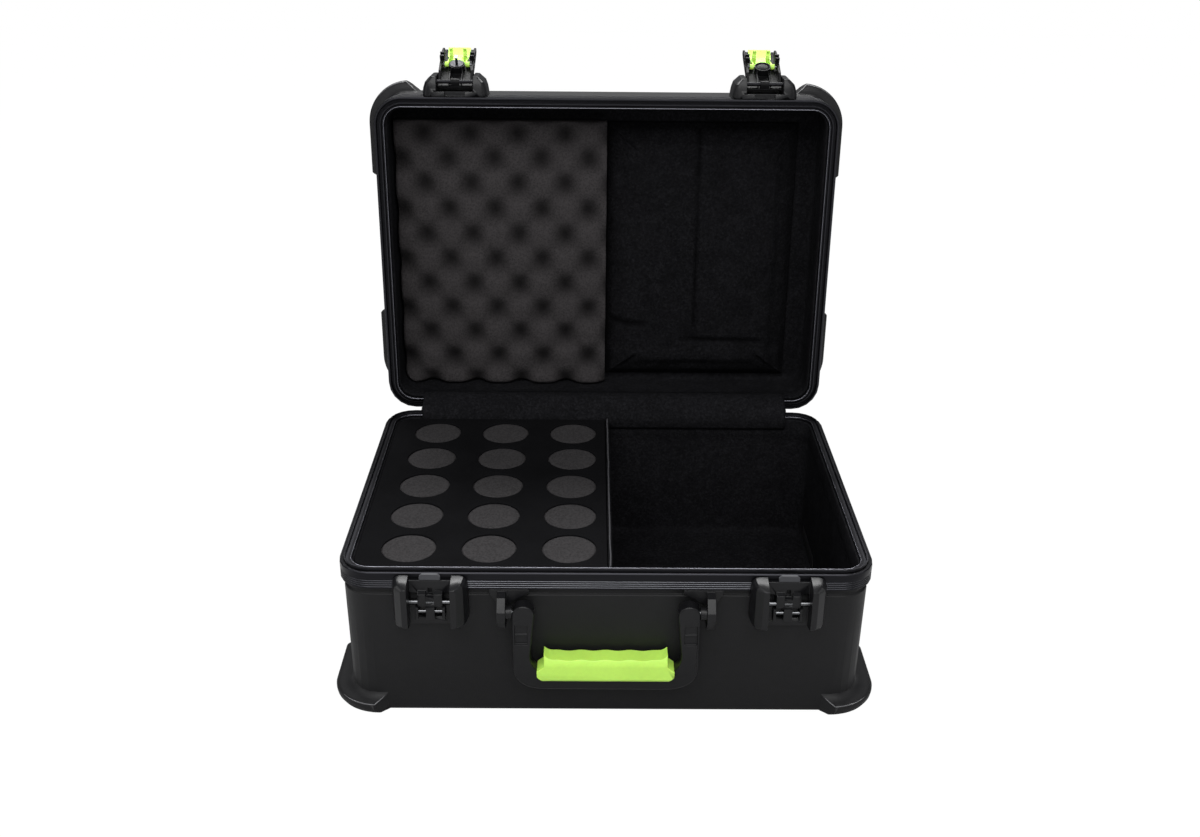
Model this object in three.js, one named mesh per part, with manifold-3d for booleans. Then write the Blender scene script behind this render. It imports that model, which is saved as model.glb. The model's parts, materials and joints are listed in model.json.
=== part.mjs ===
// Microphone case with a hinged lid, two lever latches and a folding handle.
// Millimetres, +Z up, +X to the right, the front of the case towards -Y.
// The origin lies on the underside of the base, under the middle of the rim.
// Everything is drawn with the lid closed, then the lid, levers and triggers
// are turned about their pivots to the pose of rest: lid and levers open.

import * as THREE from 'three';
import { mergeVertices } from 'three/addons/utils/BufferGeometryUtils.js';
import Module from 'manifold-3d';

const wasm = await Module();
wasm.setup();

// Driving dimensions of the case
const caseWidth = 530;
const caseDepth = 378;
const baseHeight = 168;
const lidDepth = 82;
const rimCornerRadius = 32.5;
const smallestCornerRadius = 6;
const openAngleDegrees = 91.85;

// Clearances and shared overruns
const seatGap = 0.3;
const rimGap = 0.5;
const overrun = 5;

// Counts that set how fine the round stretches are
const cornerSteps = 5;
const footSteps = 3;
const roundSteps = 20;
const smallRoundSteps = 12;

// Moulded shells
const shellWall = 3.5;
const shellFloor = 4;
const wallInsetAtStep = 3.2;
const wallInsetAtFoot = 4.8;
const footRadius = 5;
const stepHeight = 27;
const stepRise = 1.5;
const neckInset = 5.6;
const neckWall = 3.2;
const channelDepth = 1.5;
const channelLength = 330;
const channelWidth = 24;
const channelSpacing = 66;
const channelCount = 4;

// Corner bumpers, measured past the rim
const bumperReachX = 15.5;
const bumperReachY = 7.5;
const bumperCornerRadius = 50;
const bumperHeight = 27;
const bumperTipTop = 14.5;
const bumperTipBottom = 9.5;
const bumperBottom = 2.5;
const bumperFrontEndAtWall = 221;
const bumperFrontEndAtTip = 236;
const bumperSideLengthAtWall = 108;
const bumperSideLengthAtTip = 100;
const bumperFlareShares = [[0.8, 0.08], [0.45, 0.26], [0.18, 0.52], [0.03, 0.8]];
const bumperUnderShare = 0.62;

// Rim frames, an extrusion that clips over the neck of each shell
const frameWidth = 12;
const frameHeight = 18.3;
const framePlate = 2;
const frameOuterWall = 1.8;
const frameFoot = 2;
const frameInnerWall = 1.9;
const frameInnerHeight = 15;
const frameEdge = 1;
const ribCount = 4;
const ribPitch = 2.3;
const ribDepth = 0.7;
const firstRibHeight = 9.2;
const tongueInset = 3.8;
const tongueWidth = 2.4;
const tongueHeight = 3;
const tongueTaper = 0.3;
const grooveClearance = 0.5;
const groovePlate = 5.2;

// Plush lining
const liningThickness = 2.7;
const liningFootRadius = 6;
const liningBelowFrame = 6;

// Hinge flap of plush
const flapThickness = 2.2;
const flapLength = 446;
const flapGluedHeight = 15;
const flapSteps = 10;
const flapSlack = 1.6;

// Divider, foam block and its skin
const dividerX = 4;
const dividerThickness = 5;
const contentDrop = 2;
const pipingRadius = 1.1;
const skinThickness = 1.6;
const windowDiameter = 55;
const windowPitchX = 80.8;
const windowPitchY = 67.4;
const windowRows = 5;
const windowColumns = 3;
const windowFieldX = -118.1;
const windowFieldY = -2.9;

// Egg-crate foam and plush pad in the lid
const crateWidth = 252;
const crateThickness = 27;
const crateDepth = 8;
const cratePeriodX = 56.4;
const cratePeriodY = 62;
const cratePitX = -76.4;
const cratePitY = -109.9;
const crateStepsPerPeriod = 6;
const padWidth = 228;
const padThickness = 25;
const padEdge = 4;
const padRearGap = 14;
const padCreaseX = 111;
const padCreaseWidth = 5;
const padCreaseDepth = 4;

// Continuous hinge
const hingeAxisOut = 3.2;
const hingeLength = 452;
const knuckleCount = 12;
const knuckleRadius = 2.9;
const knuckleEndGap = 0.4;
const hingePinRadius = 1.4;
const leafThickness = 1.2;
const leafHeight = 15;

// Latches: places shared by the lid and base halves
const leftLatchX = -172;
const rightLatchX = 178;
const guardOuter = 37;
const guardInner = 20.8;
const guardTopOuter = 26.5;
const guardReach = 21.5;
const guardCorner = 8;

// Keeper on the base
const keeperTopBelow = 6;
const keeperBottomBelow = 55.5;
const keeperGuardTopBelow = 2;
const keeperFace = 4.4;
const keeperRibInner = 4;
const keeperRibOuter = 12;
const keeperRibReach = 9.6;
const keeperRibTopBelow = 19;
const keeperRibSlope = 2;
const keeperWebReach = 10.4;
const keeperCoreReach = 8.9;
const keeperCoreTopBelow = 22.5;
const pocketFloor = 2;
const pocketTopBelow = 33.8;
const pocketBottomBelow = 47.8;
const boltSlotHalf = 2;
const boltPocketHalf = 3.8;
const boltPocketFloor = 0.9;
const boltPocketRoof = 3.2;
const upperPinBelow = 28.5;
const upperPinOut = 7;
const upperPinRadius = 2;
const lowerPinBelow = 38.8;
const lowerPinOut = 7.5;
const lowerPinRadius = 1.5;
const lowerPinHalf = 14.2;
const pinBoss = 14.6;

// Locating tab on the keeper
const tabHalfFoot = 10.3;
const tabHalfTop = 7.6;
const tabBackOut = 0.8;
const tabFaceOut = 4;
const tabAboveRim = 0.6;
const tabShoulder = 2.6;

// Latch housing on the lid, heights above the rim of the closed lid
const housingStart = 0.8;
const housingEnd = 44;
const housingFloor = 2;
const housingBlockOut = 5.2;
const housingBlockHeight = 5.7;
const slotHalf = 11.5;
const slotBackOut = 0.4;
const slotFaceOut = 5.2;
const slotDepth = 4.4;
const stopInner = 14.6;
const stopHeight = 38;
const stopThickness = 3;

// Lever, drawn closed: it hangs down from its pivot over both rims
const leverPivotUp = 12;
const leverPivotOut = 15;
const leverOpenDegrees = 156;
const leverHalf = 19.5;
const leverFlange = 2.6;
const leverLength = 71;
const leverHeel = 5;
const leverPlate = 2.5;
const leverFaceOut = 21;
const leverTipOut = 19.3;
const leverTipSlope = 8;
const leverFlangeInner = 10;
const leverFlangeTipInner = 14.6;
const leverFlangeStart = 8;
const leverKnuckleHalf = 4.8;
const leverKnuckleRadius = 3.6;
const leverPinRadius = 2.2;
const leverPinHalf = 25;
const leverRibX = 7;
const leverRibHalf = 0.7;
const leverRibReach = 15;
const clawInner = 14.5;
const clawReachOut = 4;
const clawHalfHeight = 4.7;
const clawRootOut = 10.8;
const clawClearance = 0.35;
const rivetDown = 49.5;
const rivetRadius = 1.3;
const rivetInner = 15.8;
const rivetOuter = 20.1;

// Trigger: a yoke round the lock, a pad and two hooks
const triggerHalf = 11.2;
const triggerTipHalf = 13;
const triggerTipDown = 58;
const triggerTipRelief = 0.9;
const triggerWindowTop = 40.5;
const triggerPadTop = 42;
const triggerPivotDown = 36;
const triggerEyeInner = 9.6;
const triggerEyeOuter = 14.2;
const triggerEyeRadius = 3.2;
const triggerPinRadius = 1.4;
const triggerPinInner = 9.4;
const triggerPinOuter = 20.1;
const triggerFaceOut = 21.6;
const triggerPad = 2.8;
const triggerArmEnd = 50;
const triggerLength = 74;
const triggerLipOut = 17.2;
const triggerBendDown = 63;
const triggerArmNeck = 2.2;
const triggerArmStep = 0.8;
const hookInner = 6;
const hookOuter = 9.6;
const hookArmTopBelow = 37.3;
const hookArmFootBelow = 46.3;
const hookClearance = 0.35;
const hookThickness = 2.4;
const hookLip = 1.3;
const hookLipRise = 0.8;
const hookArmWidth = 3;
const gripRidges = 3;
const gripRidgePitch = 4;
const gripRidgeRadius = 0.8;
const gripRidgeStart = 50;

// Trigger spring, a torsion spring round one trigger pin
const springWire = 0.6;
const springInnerRadius = 1.8;
const springTurns = 2;
const springLength = 1.6;
const springMiddleX = 15.55;
const springStepsPerTurn = 12;
const springSides = 6;
const springLeg = 4;

// Key lock and blank plug in the levers
const lockDown = 30.5;
const lockRadius = 7.6;
const lockBarrelWall = 1.3;
const lockInnerOut = 10.2;
const lockFaceOut = 22;
const lockRimRadius = 8.4;
const lockRimThickness = 0.7;
const keySlotLength = 7;
const keySlotWidth = 1.6;
const keySlotDepth = 3;
const boltRadius = 1.5;
const boltEndOut = 1.3;
const boltBitHalf = 3.2;
const boltBitThickness = 1.6;
const plugDome = 2.6;
const plugDomeSteps = 5;

// Handle
const handlePivotBelow = 39;
const handlePivotOut = 9;
const bailHalf = 92;
const bailDrop = 87;
const bailArmWidth = 17;
const bailThickness = 14;
const bailBarHeight = 20;
const bailCornerWidth = 34;
const bailCornerHeight = 27;
const bailEyeRadius = 10.8;
const bailInnerCorner = 20;
const bailEdge = 1.6;
const armSlotWidth = 12.5;
const armSlotHeight = 22;
const armSlotDepth = 2.4;
const armSlotDown = 11.3;
const armSlotBars = 1;
const armSlotBarHeight = 2;
const armSlotBarDrop = 0.9;
const bracketThickness = 8.5;
const bracketGap = 6.5;
const bracketCheekRadius = 9.5;
const bracketFlangeSpread = 8;
const bracketFlangeInward = 16;
const bracketFlangeTop = 17;
const bracketFlangeThickness = 4.2;
const bracketBoss = 1.6;
const handlePinRadius = 3.4;
const gripHalf = 68.5;
const gripUpperHalf = 61.5;
const gripBottomUp = 11.5;
const gripHeight = 25;
const gripHornHeight = 5.5;
const gripThickness = 20;
const gripBumpRise = 1.2;
const gripBumps = 5;
const gripOutlineSteps = 40;
const gripEdge = 4;
const gripCrownShare = 0.55;
const gripHornShare = 0.16;

// Colours and finishes as the photograph shows them
const finishes = {
  moulded: { color: 0x212122, roughness: 0.62, metalness: 0 },
  frame: { color: 0x2b2c2e, roughness: 0.42, metalness: 0.6 },
  hardware: { color: 0x1b1b1d, roughness: 0.5, metalness: 0 },
  plush: { color: 0x111112, roughness: 1, metalness: 0 },
  skin: { color: 0x131315, roughness: 0.95, metalness: 0 },
  foam: { color: 0x464445, roughness: 1, metalness: 0 },
  crate: { color: 0x3a3839, roughness: 1, metalness: 0 },
  piping: { color: 0x5c5c5e, roughness: 0.9, metalness: 0 },
  lime: { color: 0xb4e25a, roughness: 0.55, metalness: 0 },
  tab: { color: 0x7a7b7d, roughness: 0.6, metalness: 0 },
  steel: { color: 0xc6c8ca, roughness: 0.28, metalness: 1 },
};

// Places that follow from the driving dimensions
const halfWidth = caseWidth / 2;
const halfDepth = caseDepth / 2;
const frontY = -halfDepth;
const lidRimZ = baseHeight + rimGap;
const keeperBack = wallInsetAtStep - seatGap;
const keeperTop = baseHeight - keeperTopBelow;
const keeperBottom = baseHeight - keeperBottomBelow;
const keeperGuardTop = baseHeight - keeperGuardTopBelow;
const keeperRibTop = baseHeight - keeperRibTopBelow;
const keeperCoreTop = baseHeight - keeperCoreTopBelow;
const pocketTop = baseHeight - pocketTopBelow;
const pocketBottom = baseHeight - pocketBottomBelow;
const upperPinZ = baseHeight - upperPinBelow;
const lowerPinZ = baseHeight - lowerPinBelow;
const hookArmTop = baseHeight - hookArmTopBelow;
const hookArmFoot = baseHeight - hookArmFootBelow;
const handlePivotZ = baseHeight - handlePivotBelow;
const bracketInner = bailHalf + bracketGap;
const bracketOuter = bracketInner + bracketThickness;
const bracketFlangeOuter = bracketOuter + bracketFlangeSpread;
const bracketFlangeInner = bailHalf - bracketFlangeInward;
const hingeY = halfDepth + hingeAxisOut;
const hingeZ = baseHeight + rimGap / 2;
const openAngle = THREE.MathUtils.degToRad(openAngleDegrees);
const leverOpenAngle = THREE.MathUtils.degToRad(leverOpenDegrees);
const leverPivotZ = lidRimZ + leverPivotUp;
const lockZ = leverPivotZ - lockDown;
const liningInset = frameWidth - frameEdge + seatGap;
const interiorInset = liningInset + liningThickness;

const span = (a, b) => [Math.min(a, b), Math.max(a, b)];
// A height below the rim plane of the base or of the closed lid, as a Z value
const baseLevel = (below) => baseHeight - below;
const lidLevel = (below) => lidRimZ + below;
// A distance in front of the rim, as a Y value
const out = (distance) => frontY - distance;

// Basic solids

// Turns a closed geometry into a solid whose faces point outward.
function solidOf(geometry) {
  geometry.deleteAttribute('normal');
  geometry.deleteAttribute('uv');
  const merged = mergeVertices(geometry.index ? geometry.toNonIndexed() : geometry);
  const points = new Float32Array(merged.attributes.position.array);
  const corners = new Uint32Array(merged.index.array);
  if (signedVolume(points, corners) < 0) {
    for (let i = 0; i < corners.length; i += 3) {
      [corners[i + 1], corners[i + 2]] = [corners[i + 2], corners[i + 1]];
    }
  }
  return new wasm.Manifold(new wasm.Mesh({ numProp: 3, vertProperties: points, triVerts: corners }));
}

function signedVolume(points, corners) {
  const at = (i) => new THREE.Vector3().fromArray(points, i * 3);
  let total = 0;
  for (let i = 0; i < corners.length; i += 3) {
    total += at(corners[i]).dot(at(corners[i + 1]).cross(at(corners[i + 2])));
  }
  return total;
}

function geometryOf(solid) {
  const mesh = solid.getMesh();
  const geometry = new THREE.BufferGeometry();
  geometry.setAttribute('position', new THREE.BufferAttribute(mesh.vertProperties, mesh.numProp));
  geometry.setIndex(new THREE.BufferAttribute(mesh.triVerts, 1));
  return geometry;
}

// Mirrors a solid to the other side of the case when the sign is negative.
function mirrored(solid, sign) {
  return solidOf(geometryOf(solid).scale(sign, 1, 1));
}

const join = (...solids) => solids.reduce((sum, next) => sum.add(next));
const cut = (body, ...tools) => tools.reduce((rest, tool) => rest.subtract(tool), body);

function flatShape(points) {
  return new THREE.Shape(points.map(([a, b]) => new THREE.Vector2(a, b)));
}

// Outlines given as (y, z) points, drawn out along X.
function alongX(points, fromX, toX, steps = 1) {
  const shape = Array.isArray(points) ? flatShape(points) : points;
  const geometry = new THREE.ExtrudeGeometry(shape, {
    depth: toX - fromX, steps, bevelEnabled: false, curveSegments: smallRoundSteps,
  });
  const turn = new THREE.Matrix4().makeBasis(
    new THREE.Vector3(0, 1, 0), new THREE.Vector3(0, 0, 1), new THREE.Vector3(1, 0, 0));
  geometry.applyMatrix4(turn);
  geometry.translate(fromX, 0, 0);
  return solidOf(geometry);
}

// Outlines given as (x, z) points, drawn out along Y.
function alongY(points, fromY, toY, bevel = 0) {
  const shape = Array.isArray(points) ? flatShape(points) : points;
  const geometry = new THREE.ExtrudeGeometry(shape, {
    depth: toY - fromY - 2 * bevel, bevelEnabled: bevel > 0, bevelThickness: bevel,
    bevelSize: bevel, bevelOffset: -bevel, bevelSegments: 2, curveSegments: smallRoundSteps,
  });
  const turn = new THREE.Matrix4().makeBasis(
    new THREE.Vector3(1, 0, 0), new THREE.Vector3(0, 0, 1), new THREE.Vector3(0, -1, 0));
  geometry.applyMatrix4(turn);
  geometry.translate(0, toY - bevel, 0);
  return solidOf(geometry);
}

// Outlines given as (x, y) points, drawn out along Z.
function alongZ(points, fromZ, toZ) {
  const shape = Array.isArray(points) ? flatShape(points) : points;
  const geometry = new THREE.ExtrudeGeometry(shape, {
    depth: toZ - fromZ, bevelEnabled: false, curveSegments: smallRoundSteps,
  });
  geometry.translate(0, 0, fromZ);
  return solidOf(geometry);
}

function block(fromX, toX, fromY, toY, fromZ, toZ) {
  return alongZ([[fromX, fromY], [toX, fromY], [toX, toY], [fromX, toY]], fromZ, toZ);
}

function rodX(radius, fromX, toX, y, z, steps = smallRoundSteps) {
  const geometry = new THREE.CylinderGeometry(radius, radius, toX - fromX, steps);
  geometry.rotateZ(Math.PI / 2);
  geometry.translate((fromX + toX) / 2, y, z);
  return solidOf(geometry);
}

function rodY(radius, fromY, toY, x, z, steps = roundSteps) {
  const geometry = new THREE.CylinderGeometry(radius, radius, toY - fromY, steps);
  geometry.translate(x, (fromY + toY) / 2, z);
  return solidOf(geometry);
}

// Stacks of rings

// A rounded rectangle about the middle of the case, as points at one height.
function roundedRing(halfX, halfY, radius, z) {
  const points = [];
  const corners = [[1, 1, 0], [-1, 1, 1], [-1, -1, 2], [1, -1, 3]];
  for (const [signX, signY, quarter] of corners) {
    for (let step = 0; step <= cornerSteps; step += 1) {
      const angle = (quarter + step / cornerSteps) * Math.PI / 2;
      points.push([
        signX * (halfX - radius) + radius * Math.cos(angle),
        signY * (halfY - radius) + radius * Math.sin(angle),
        z,
      ]);
    }
  }
  return points;
}

// The rim outline, drawn in by an inset.
function rimRing(inset, z) {
  const radius = Math.max(rimCornerRadius - inset, smallestCornerRadius);
  return roundedRing(halfWidth - inset, halfDepth - inset, radius, z);
}

// Joins rings of equal count; the stack is capped, or runs round to its start.
function stack(rings, closed = false) {
  const count = rings[0].length;
  const positions = rings.flat(2);
  const index = [];
  const last = closed ? rings.length : rings.length - 1;
  for (let level = 0; level < last; level += 1) {
    const low = level * count;
    const high = ((level + 1) % rings.length) * count;
    for (let i = 0; i < count; i += 1) {
      const next = (i + 1) % count;
      index.push(low + i, low + next, high + next, low + i, high + next, high + i);
    }
  }
  if (!closed) {
    const top = (rings.length - 1) * count;
    for (let i = 1; i < count - 1; i += 1) {
      index.push(0, i + 1, i, top, top + i, top + i + 1);
    }
  }
  const geometry = new THREE.BufferGeometry();
  geometry.setAttribute('position', new THREE.Float32BufferAttribute(positions, 3));
  geometry.setIndex(index);
  return solidOf(geometry);
}

// Shells

// Inset of the outer wall at a height below the rim.
function wallInset(below, depth) {
  const share = (below - stepHeight) / (depth - stepHeight);
  return wallInsetAtStep + (wallInsetAtFoot - wallInsetAtStep) * share;
}

function shellSolid(depth, plate, level) {
  const rings = [];
  for (let step = 0; step <= footSteps; step += 1) {
    const angle = (1 - step / footSteps) * Math.PI / 2;
    rings.push(rimRing(
      wallInset(depth - footRadius, depth) + footRadius * (1 - Math.cos(angle)),
      level(depth - footRadius * (1 - Math.sin(angle))),
    ));
  }
  rings.push(rimRing(wallInsetAtStep, level(stepHeight)));
  rings.push(rimRing(neckInset, level(stepHeight - stepRise)));
  rings.push(rimRing(neckInset, level(plate + seatGap)));
  const cavity = [
    rimRing(wallInsetAtFoot + shellWall + footRadius, level(depth - shellFloor)),
    rimRing(wallInsetAtFoot + shellWall, level(depth - shellFloor - footRadius)),
    rimRing(neckInset + neckWall, level(stepHeight + shellWall)),
    rimRing(neckInset + neckWall, level(-overrun)),
  ];
  const bumpers = bumperSkirt(depth, level).intersect(bumperZones(level, depth));
  return cut(join(stack(rings), bumpers), stack(cavity), ...outerChannels(depth, level));
}

// A flared skirt round the whole foot of a shell; the zones keep its corners.
function bumperSkirt(depth, level) {
  const inner = wallInset(depth - bumperHeight, depth) + shellWall / 2;
  const ring = (share, above) => roundedRing(
    halfWidth - inner + share * (inner + bumperReachX),
    halfDepth - inner + share * (inner + bumperReachY),
    rimCornerRadius - inner + share * (inner + bumperCornerRadius - rimCornerRadius),
    level(depth - above),
  );
  const rings = [ring(bumperUnderShare, bumperBottom), ring(1, bumperTipBottom)];
  rings.push(ring(1, bumperTipTop - (bumperTipTop - bumperTipBottom) / 3));
  for (const [reach, rise] of bumperFlareShares) {
    rings.push(ring(reach, bumperTipTop + rise * (bumperHeight - bumperTipTop)));
  }
  rings.push(ring(0, bumperHeight));
  return stack(rings);
}

function bumperZones(level, depth) {
  const zones = [];
  const lowest = Math.min(level(depth), level(depth - bumperHeight)) - overrun;
  const highest = Math.max(level(depth), level(depth - bumperHeight)) + overrun;
  const pastX = halfWidth + bumperReachX + overrun;
  const pastY = halfDepth + bumperReachY + overrun;
  for (const signX of [-1, 1]) {
    for (const signY of [-1, 1]) {
      const outline = [
        [bumperFrontEndAtWall, halfDepth - wallInsetAtFoot - overrun],
        [bumperFrontEndAtWall, halfDepth - wallInsetAtFoot],
        [bumperFrontEndAtTip, halfDepth + bumperReachY],
        [bumperFrontEndAtTip, pastY],
        [pastX, pastY],
        [pastX, halfDepth - bumperSideLengthAtTip],
        [halfWidth + bumperReachX, halfDepth - bumperSideLengthAtTip],
        [halfWidth - wallInsetAtFoot, halfDepth - bumperSideLengthAtWall],
        [halfWidth - wallInsetAtFoot - overrun, halfDepth - bumperSideLengthAtWall],
        [halfWidth - wallInsetAtFoot - overrun, halfDepth - rimCornerRadius],
        [halfWidth - rimCornerRadius, halfDepth - wallInsetAtFoot - overrun],
      ].map(([x, y]) => [signX * x, signY * y]);
      zones.push(alongZ(outline, lowest, highest));
    }
  }
  return join(...zones);
}

// Shallow moulded channels across the large outer face.
function outerChannels(depth, level) {
  const channels = [];
  for (let i = 0; i < channelCount; i += 1) {
    const y = (i - (channelCount - 1) / 2) * channelSpacing;
    const shape = new THREE.Shape();
    const straight = channelLength / 2 - channelWidth / 2;
    shape.absarc(straight, y, channelWidth / 2, -Math.PI / 2, Math.PI / 2, false);
    shape.absarc(-straight, y, channelWidth / 2, Math.PI / 2, Math.PI * 3 / 2, false);
    const deep = level(depth - channelDepth);
    const past = level(depth + overrun);
    channels.push(alongZ(shape, Math.min(deep, past), Math.max(deep, past)));
  }
  return channels;
}

// Rim frames

// The section as (inset, height above the rim plane) points, with the tongue
// or, on the lid, the groove that takes it.
function frameSection(plate, edgeMiddle) {
  const section = [[frameEdge, 0], ...edgeMiddle, [frameWidth - frameEdge, 0]];
  section.push([frameWidth, -frameEdge], [frameWidth, -plate]);
  section.push([frameWidth - frameEdge, -plate - frameEdge]);
  section.push([frameWidth - frameEdge, -frameInnerHeight]);
  const innerFace = frameWidth - frameEdge - frameInnerWall;
  section.push([innerFace, -frameInnerHeight], [innerFace, -plate]);
  section.push([frameOuterWall, -plate]);
  section.push([frameOuterWall, -frameHeight + frameFoot]);
  section.push([neckInset - seatGap, -frameHeight + frameFoot]);
  section.push([neckInset - seatGap, -frameHeight], [0, -frameHeight]);
  for (let i = ribCount - 1; i >= 0; i -= 1) {
    const depth = firstRibHeight + i * ribPitch;
    section.push([0, -depth - ribPitch / 4], [ribDepth, -depth], [0, -depth + ribPitch / 4]);
  }
  section.push([0, -frameEdge]);
  return section;
}

const tongue = [
  [tongueInset, 0],
  [tongueInset + tongueTaper, tongueHeight],
  [tongueInset + tongueWidth - tongueTaper, tongueHeight],
  [tongueInset + tongueWidth, 0],
];

const groove = [
  [tongueInset - grooveClearance, 0],
  [tongueInset - grooveClearance, -tongueHeight - grooveClearance],
  [tongueInset + tongueWidth + grooveClearance, -tongueHeight - grooveClearance],
  [tongueInset + tongueWidth + grooveClearance, 0],
];

function frameSolid(plate, middle, level) {
  const rings = frameSection(plate, middle).map(([inset, height]) => rimRing(inset, level(-height)));
  return stack(rings, true);
}

// Linings

function liningSolid(depth, plate, level) {
  const foot = depth - shellFloor - seatGap;
  const wallStart = stepHeight + shellWall + seatGap;
  const sides = [
    [liningInset, plate + frameEdge + seatGap],
    [liningInset, frameInnerHeight + liningBelowFrame],
    [neckInset + neckWall + seatGap, wallStart],
    [wallInsetAtFoot + shellWall + seatGap, foot - liningFootRadius],
    [wallInsetAtFoot + shellWall + seatGap + liningFootRadius, foot],
  ];
  const outer = sides.map(([inset, below]) => rimRing(inset, level(below)));
  const thick = liningThickness;
  const inner = sides.map(([inset, below], i) => {
    const lift = i === sides.length - 1 ? thick : 0;
    return rimRing(inset + thick, level(i === 0 ? -overrun : below - lift));
  });
  return cut(stack(outer), stack(inner));
}

// Contents of the base

// Inset of the lining's inner face, at its tightest.
const contentInset = interiorInset + seatGap;
const contentRearY = halfDepth - contentInset - flapThickness - flapSlack;
const contentFrontY = -halfDepth + contentInset;
const contentFloorZ = shellFloor + seatGap + liningThickness + seatGap;
const contentFootInset = wallInsetAtFoot + shellWall + 2 * seatGap + liningThickness + liningFootRadius;
const contentTopZ = baseHeight - contentDrop;
const footRise = liningFootRadius + liningThickness;

function dividerSolid() {
  const rearFoot = halfDepth - contentFootInset;
  const outline = [
    [-rearFoot, contentFloorZ],
    [rearFoot, contentFloorZ],
    [contentRearY, contentFloorZ + footRise],
    [contentRearY, contentTopZ],
    [contentFrontY, contentTopZ],
    [contentFrontY, contentFloorZ + footRise],
  ];
  return alongX(outline, dividerX - dividerThickness / 2, dividerX + dividerThickness / 2);
}

function pipingSolid() {
  const geometry = new THREE.CylinderGeometry(
    pipingRadius, pipingRadius, contentRearY - contentFrontY, smallRoundSteps);
  geometry.translate(dividerX, (contentRearY + contentFrontY) / 2, contentTopZ + pipingRadius + seatGap);
  return solidOf(geometry);
}

// The room left of the divider, clear of the lining and of the flap behind.
function leftBay(low, high) {
  const room = stack([
    rimRing(contentFootInset, contentFloorZ),
    rimRing(contentInset, contentFloorZ + footRise),
    rimRing(contentInset, baseHeight),
  ]);
  const right = dividerX - dividerThickness / 2 - seatGap;
  return room.intersect(block(-halfWidth, right, contentFrontY, contentRearY, low, high));
}

function discShape(x, y, radius) {
  const shape = new THREE.Shape();
  shape.absarc(x, y, radius, 0, Math.PI * 2, false);
  return shape;
}

function windowCentres() {
  const centres = [];
  for (let row = 0; row < windowRows; row += 1) {
    for (let column = 0; column < windowColumns; column += 1) {
      centres.push([
        windowFieldX + (column - (windowColumns - 1) / 2) * windowPitchX,
        windowFieldY + (row - (windowRows - 1) / 2) * windowPitchY,
      ]);
    }
  }
  return centres;
}

function foamSkinSolid() {
  const windows = windowCentres().map(([x, y]) => alongZ(
    discShape(x, y, windowDiameter / 2), contentTopZ - skinThickness - overrun, contentTopZ + overrun));
  return cut(leftBay(contentTopZ - skinThickness, contentTopZ), ...windows);
}

// Contents of the lid

const lidCeilingZ = lidLevel(lidDepth - shellFloor - seatGap - liningThickness - seatGap);

// The room inside the lid's lining, with its sloped foot.
function lidRoom() {
  return stack([
    rimRing(contentFootInset, lidCeilingZ),
    rimRing(contentInset, lidCeilingZ - footRise),
    rimRing(contentInset, lidLevel(0)),
  ]);
}

// Egg-crate foam: a wavy face of peaks and pits over a flat back.
function crateFoamSolid() {
  const left = -halfWidth + contentInset;
  const front = -halfDepth + contentInset;
  const rear = halfDepth - contentInset;
  const columns = Math.round(crateWidth / cratePeriodX * crateStepsPerPeriod);
  const rows = Math.round((rear - front) / cratePeriodY * crateStepsPerPeriod);
  const face = [];
  for (let row = 0; row <= rows; row += 1) {
    for (let column = 0; column <= columns; column += 1) {
      const x = left + crateWidth * column / columns;
      const y = front + (rear - front) * row / rows;
      const wave = Math.cos(2 * Math.PI * (x - cratePitX) / cratePeriodX)
        * Math.cos(2 * Math.PI * (y - cratePitY) / cratePeriodY);
      face.push([x, y, lidCeilingZ - crateThickness + crateDepth * (1 + wave) / 2]);
    }
  }
  return reliefSolid(face, columns, rows, lidCeilingZ).intersect(lidRoom());
}

// A slab with a face of grid points, four walls and one flat back.
function reliefSolid(face, columns, rows, backZ) {
  const count = columns + 1;
  const index = [];
  for (let row = 0; row < rows; row += 1) {
    for (let column = 0; column < columns; column += 1) {
      const a = row * count + column;
      const [b, c, d] = [a + 1, a + count + 1, a + count];
      index.push(a, c, b, a, d, c);
    }
  }
  const rim = [];
  for (let column = 0; column < columns; column += 1) rim.push(column);
  for (let row = 0; row < rows; row += 1) rim.push(row * count + columns);
  for (let column = columns; column > 0; column -= 1) rim.push(rows * count + column);
  for (let row = rows; row > 0; row -= 1) rim.push(row * count);
  const back = rim.map((i) => [face[i][0], face[i][1], backZ]);
  const middle = face.length + back.length;
  const centre = [(face[0][0] + face[columns][0]) / 2, (face[0][1] + face[rows * count][1]) / 2, backZ];
  for (let i = 0; i < rim.length; i += 1) {
    const next = (i + 1) % rim.length;
    const [a, b] = [rim[i], rim[next]];
    const [c, d] = [face.length + next, face.length + i];
    index.push(a, b, c, a, c, d, d, c, middle);
  }
  const geometry = new THREE.BufferGeometry();
  const points = [...face, ...back, centre];
  geometry.setAttribute('position', new THREE.Float32BufferAttribute(points.flat(), 3));
  geometry.setIndex(index);
  return solidOf(geometry);
}

// Plush pad with eased edges and one crease down it.
function padSolid() {
  const left = -halfWidth + contentInset + crateWidth + seatGap;
  const right = left + padWidth;
  const low = lidCeilingZ - padThickness;
  const outline = [
    [left, lidCeilingZ], [left, low + padEdge], [left + padEdge, low],
    [padCreaseX - padCreaseWidth / 2, low], [padCreaseX, low + padCreaseDepth],
    [padCreaseX + padCreaseWidth / 2, low],
    [right - padEdge, low], [right, low + padEdge], [right, lidCeilingZ],
  ];
  const rear = halfDepth - contentInset - padRearGap;
  const pad = alongY(outline, -halfDepth + contentInset + padEdge, rear);
  const slope = [
    [rear + overrun, low - overrun], [rear + overrun, low + padEdge],
    [rear, low + padEdge], [rear - padEdge, low], [rear - padEdge, low - overrun],
  ];
  return cut(pad, alongX(slope, left - overrun, right + overrun)).intersect(lidRoom());
}

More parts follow.
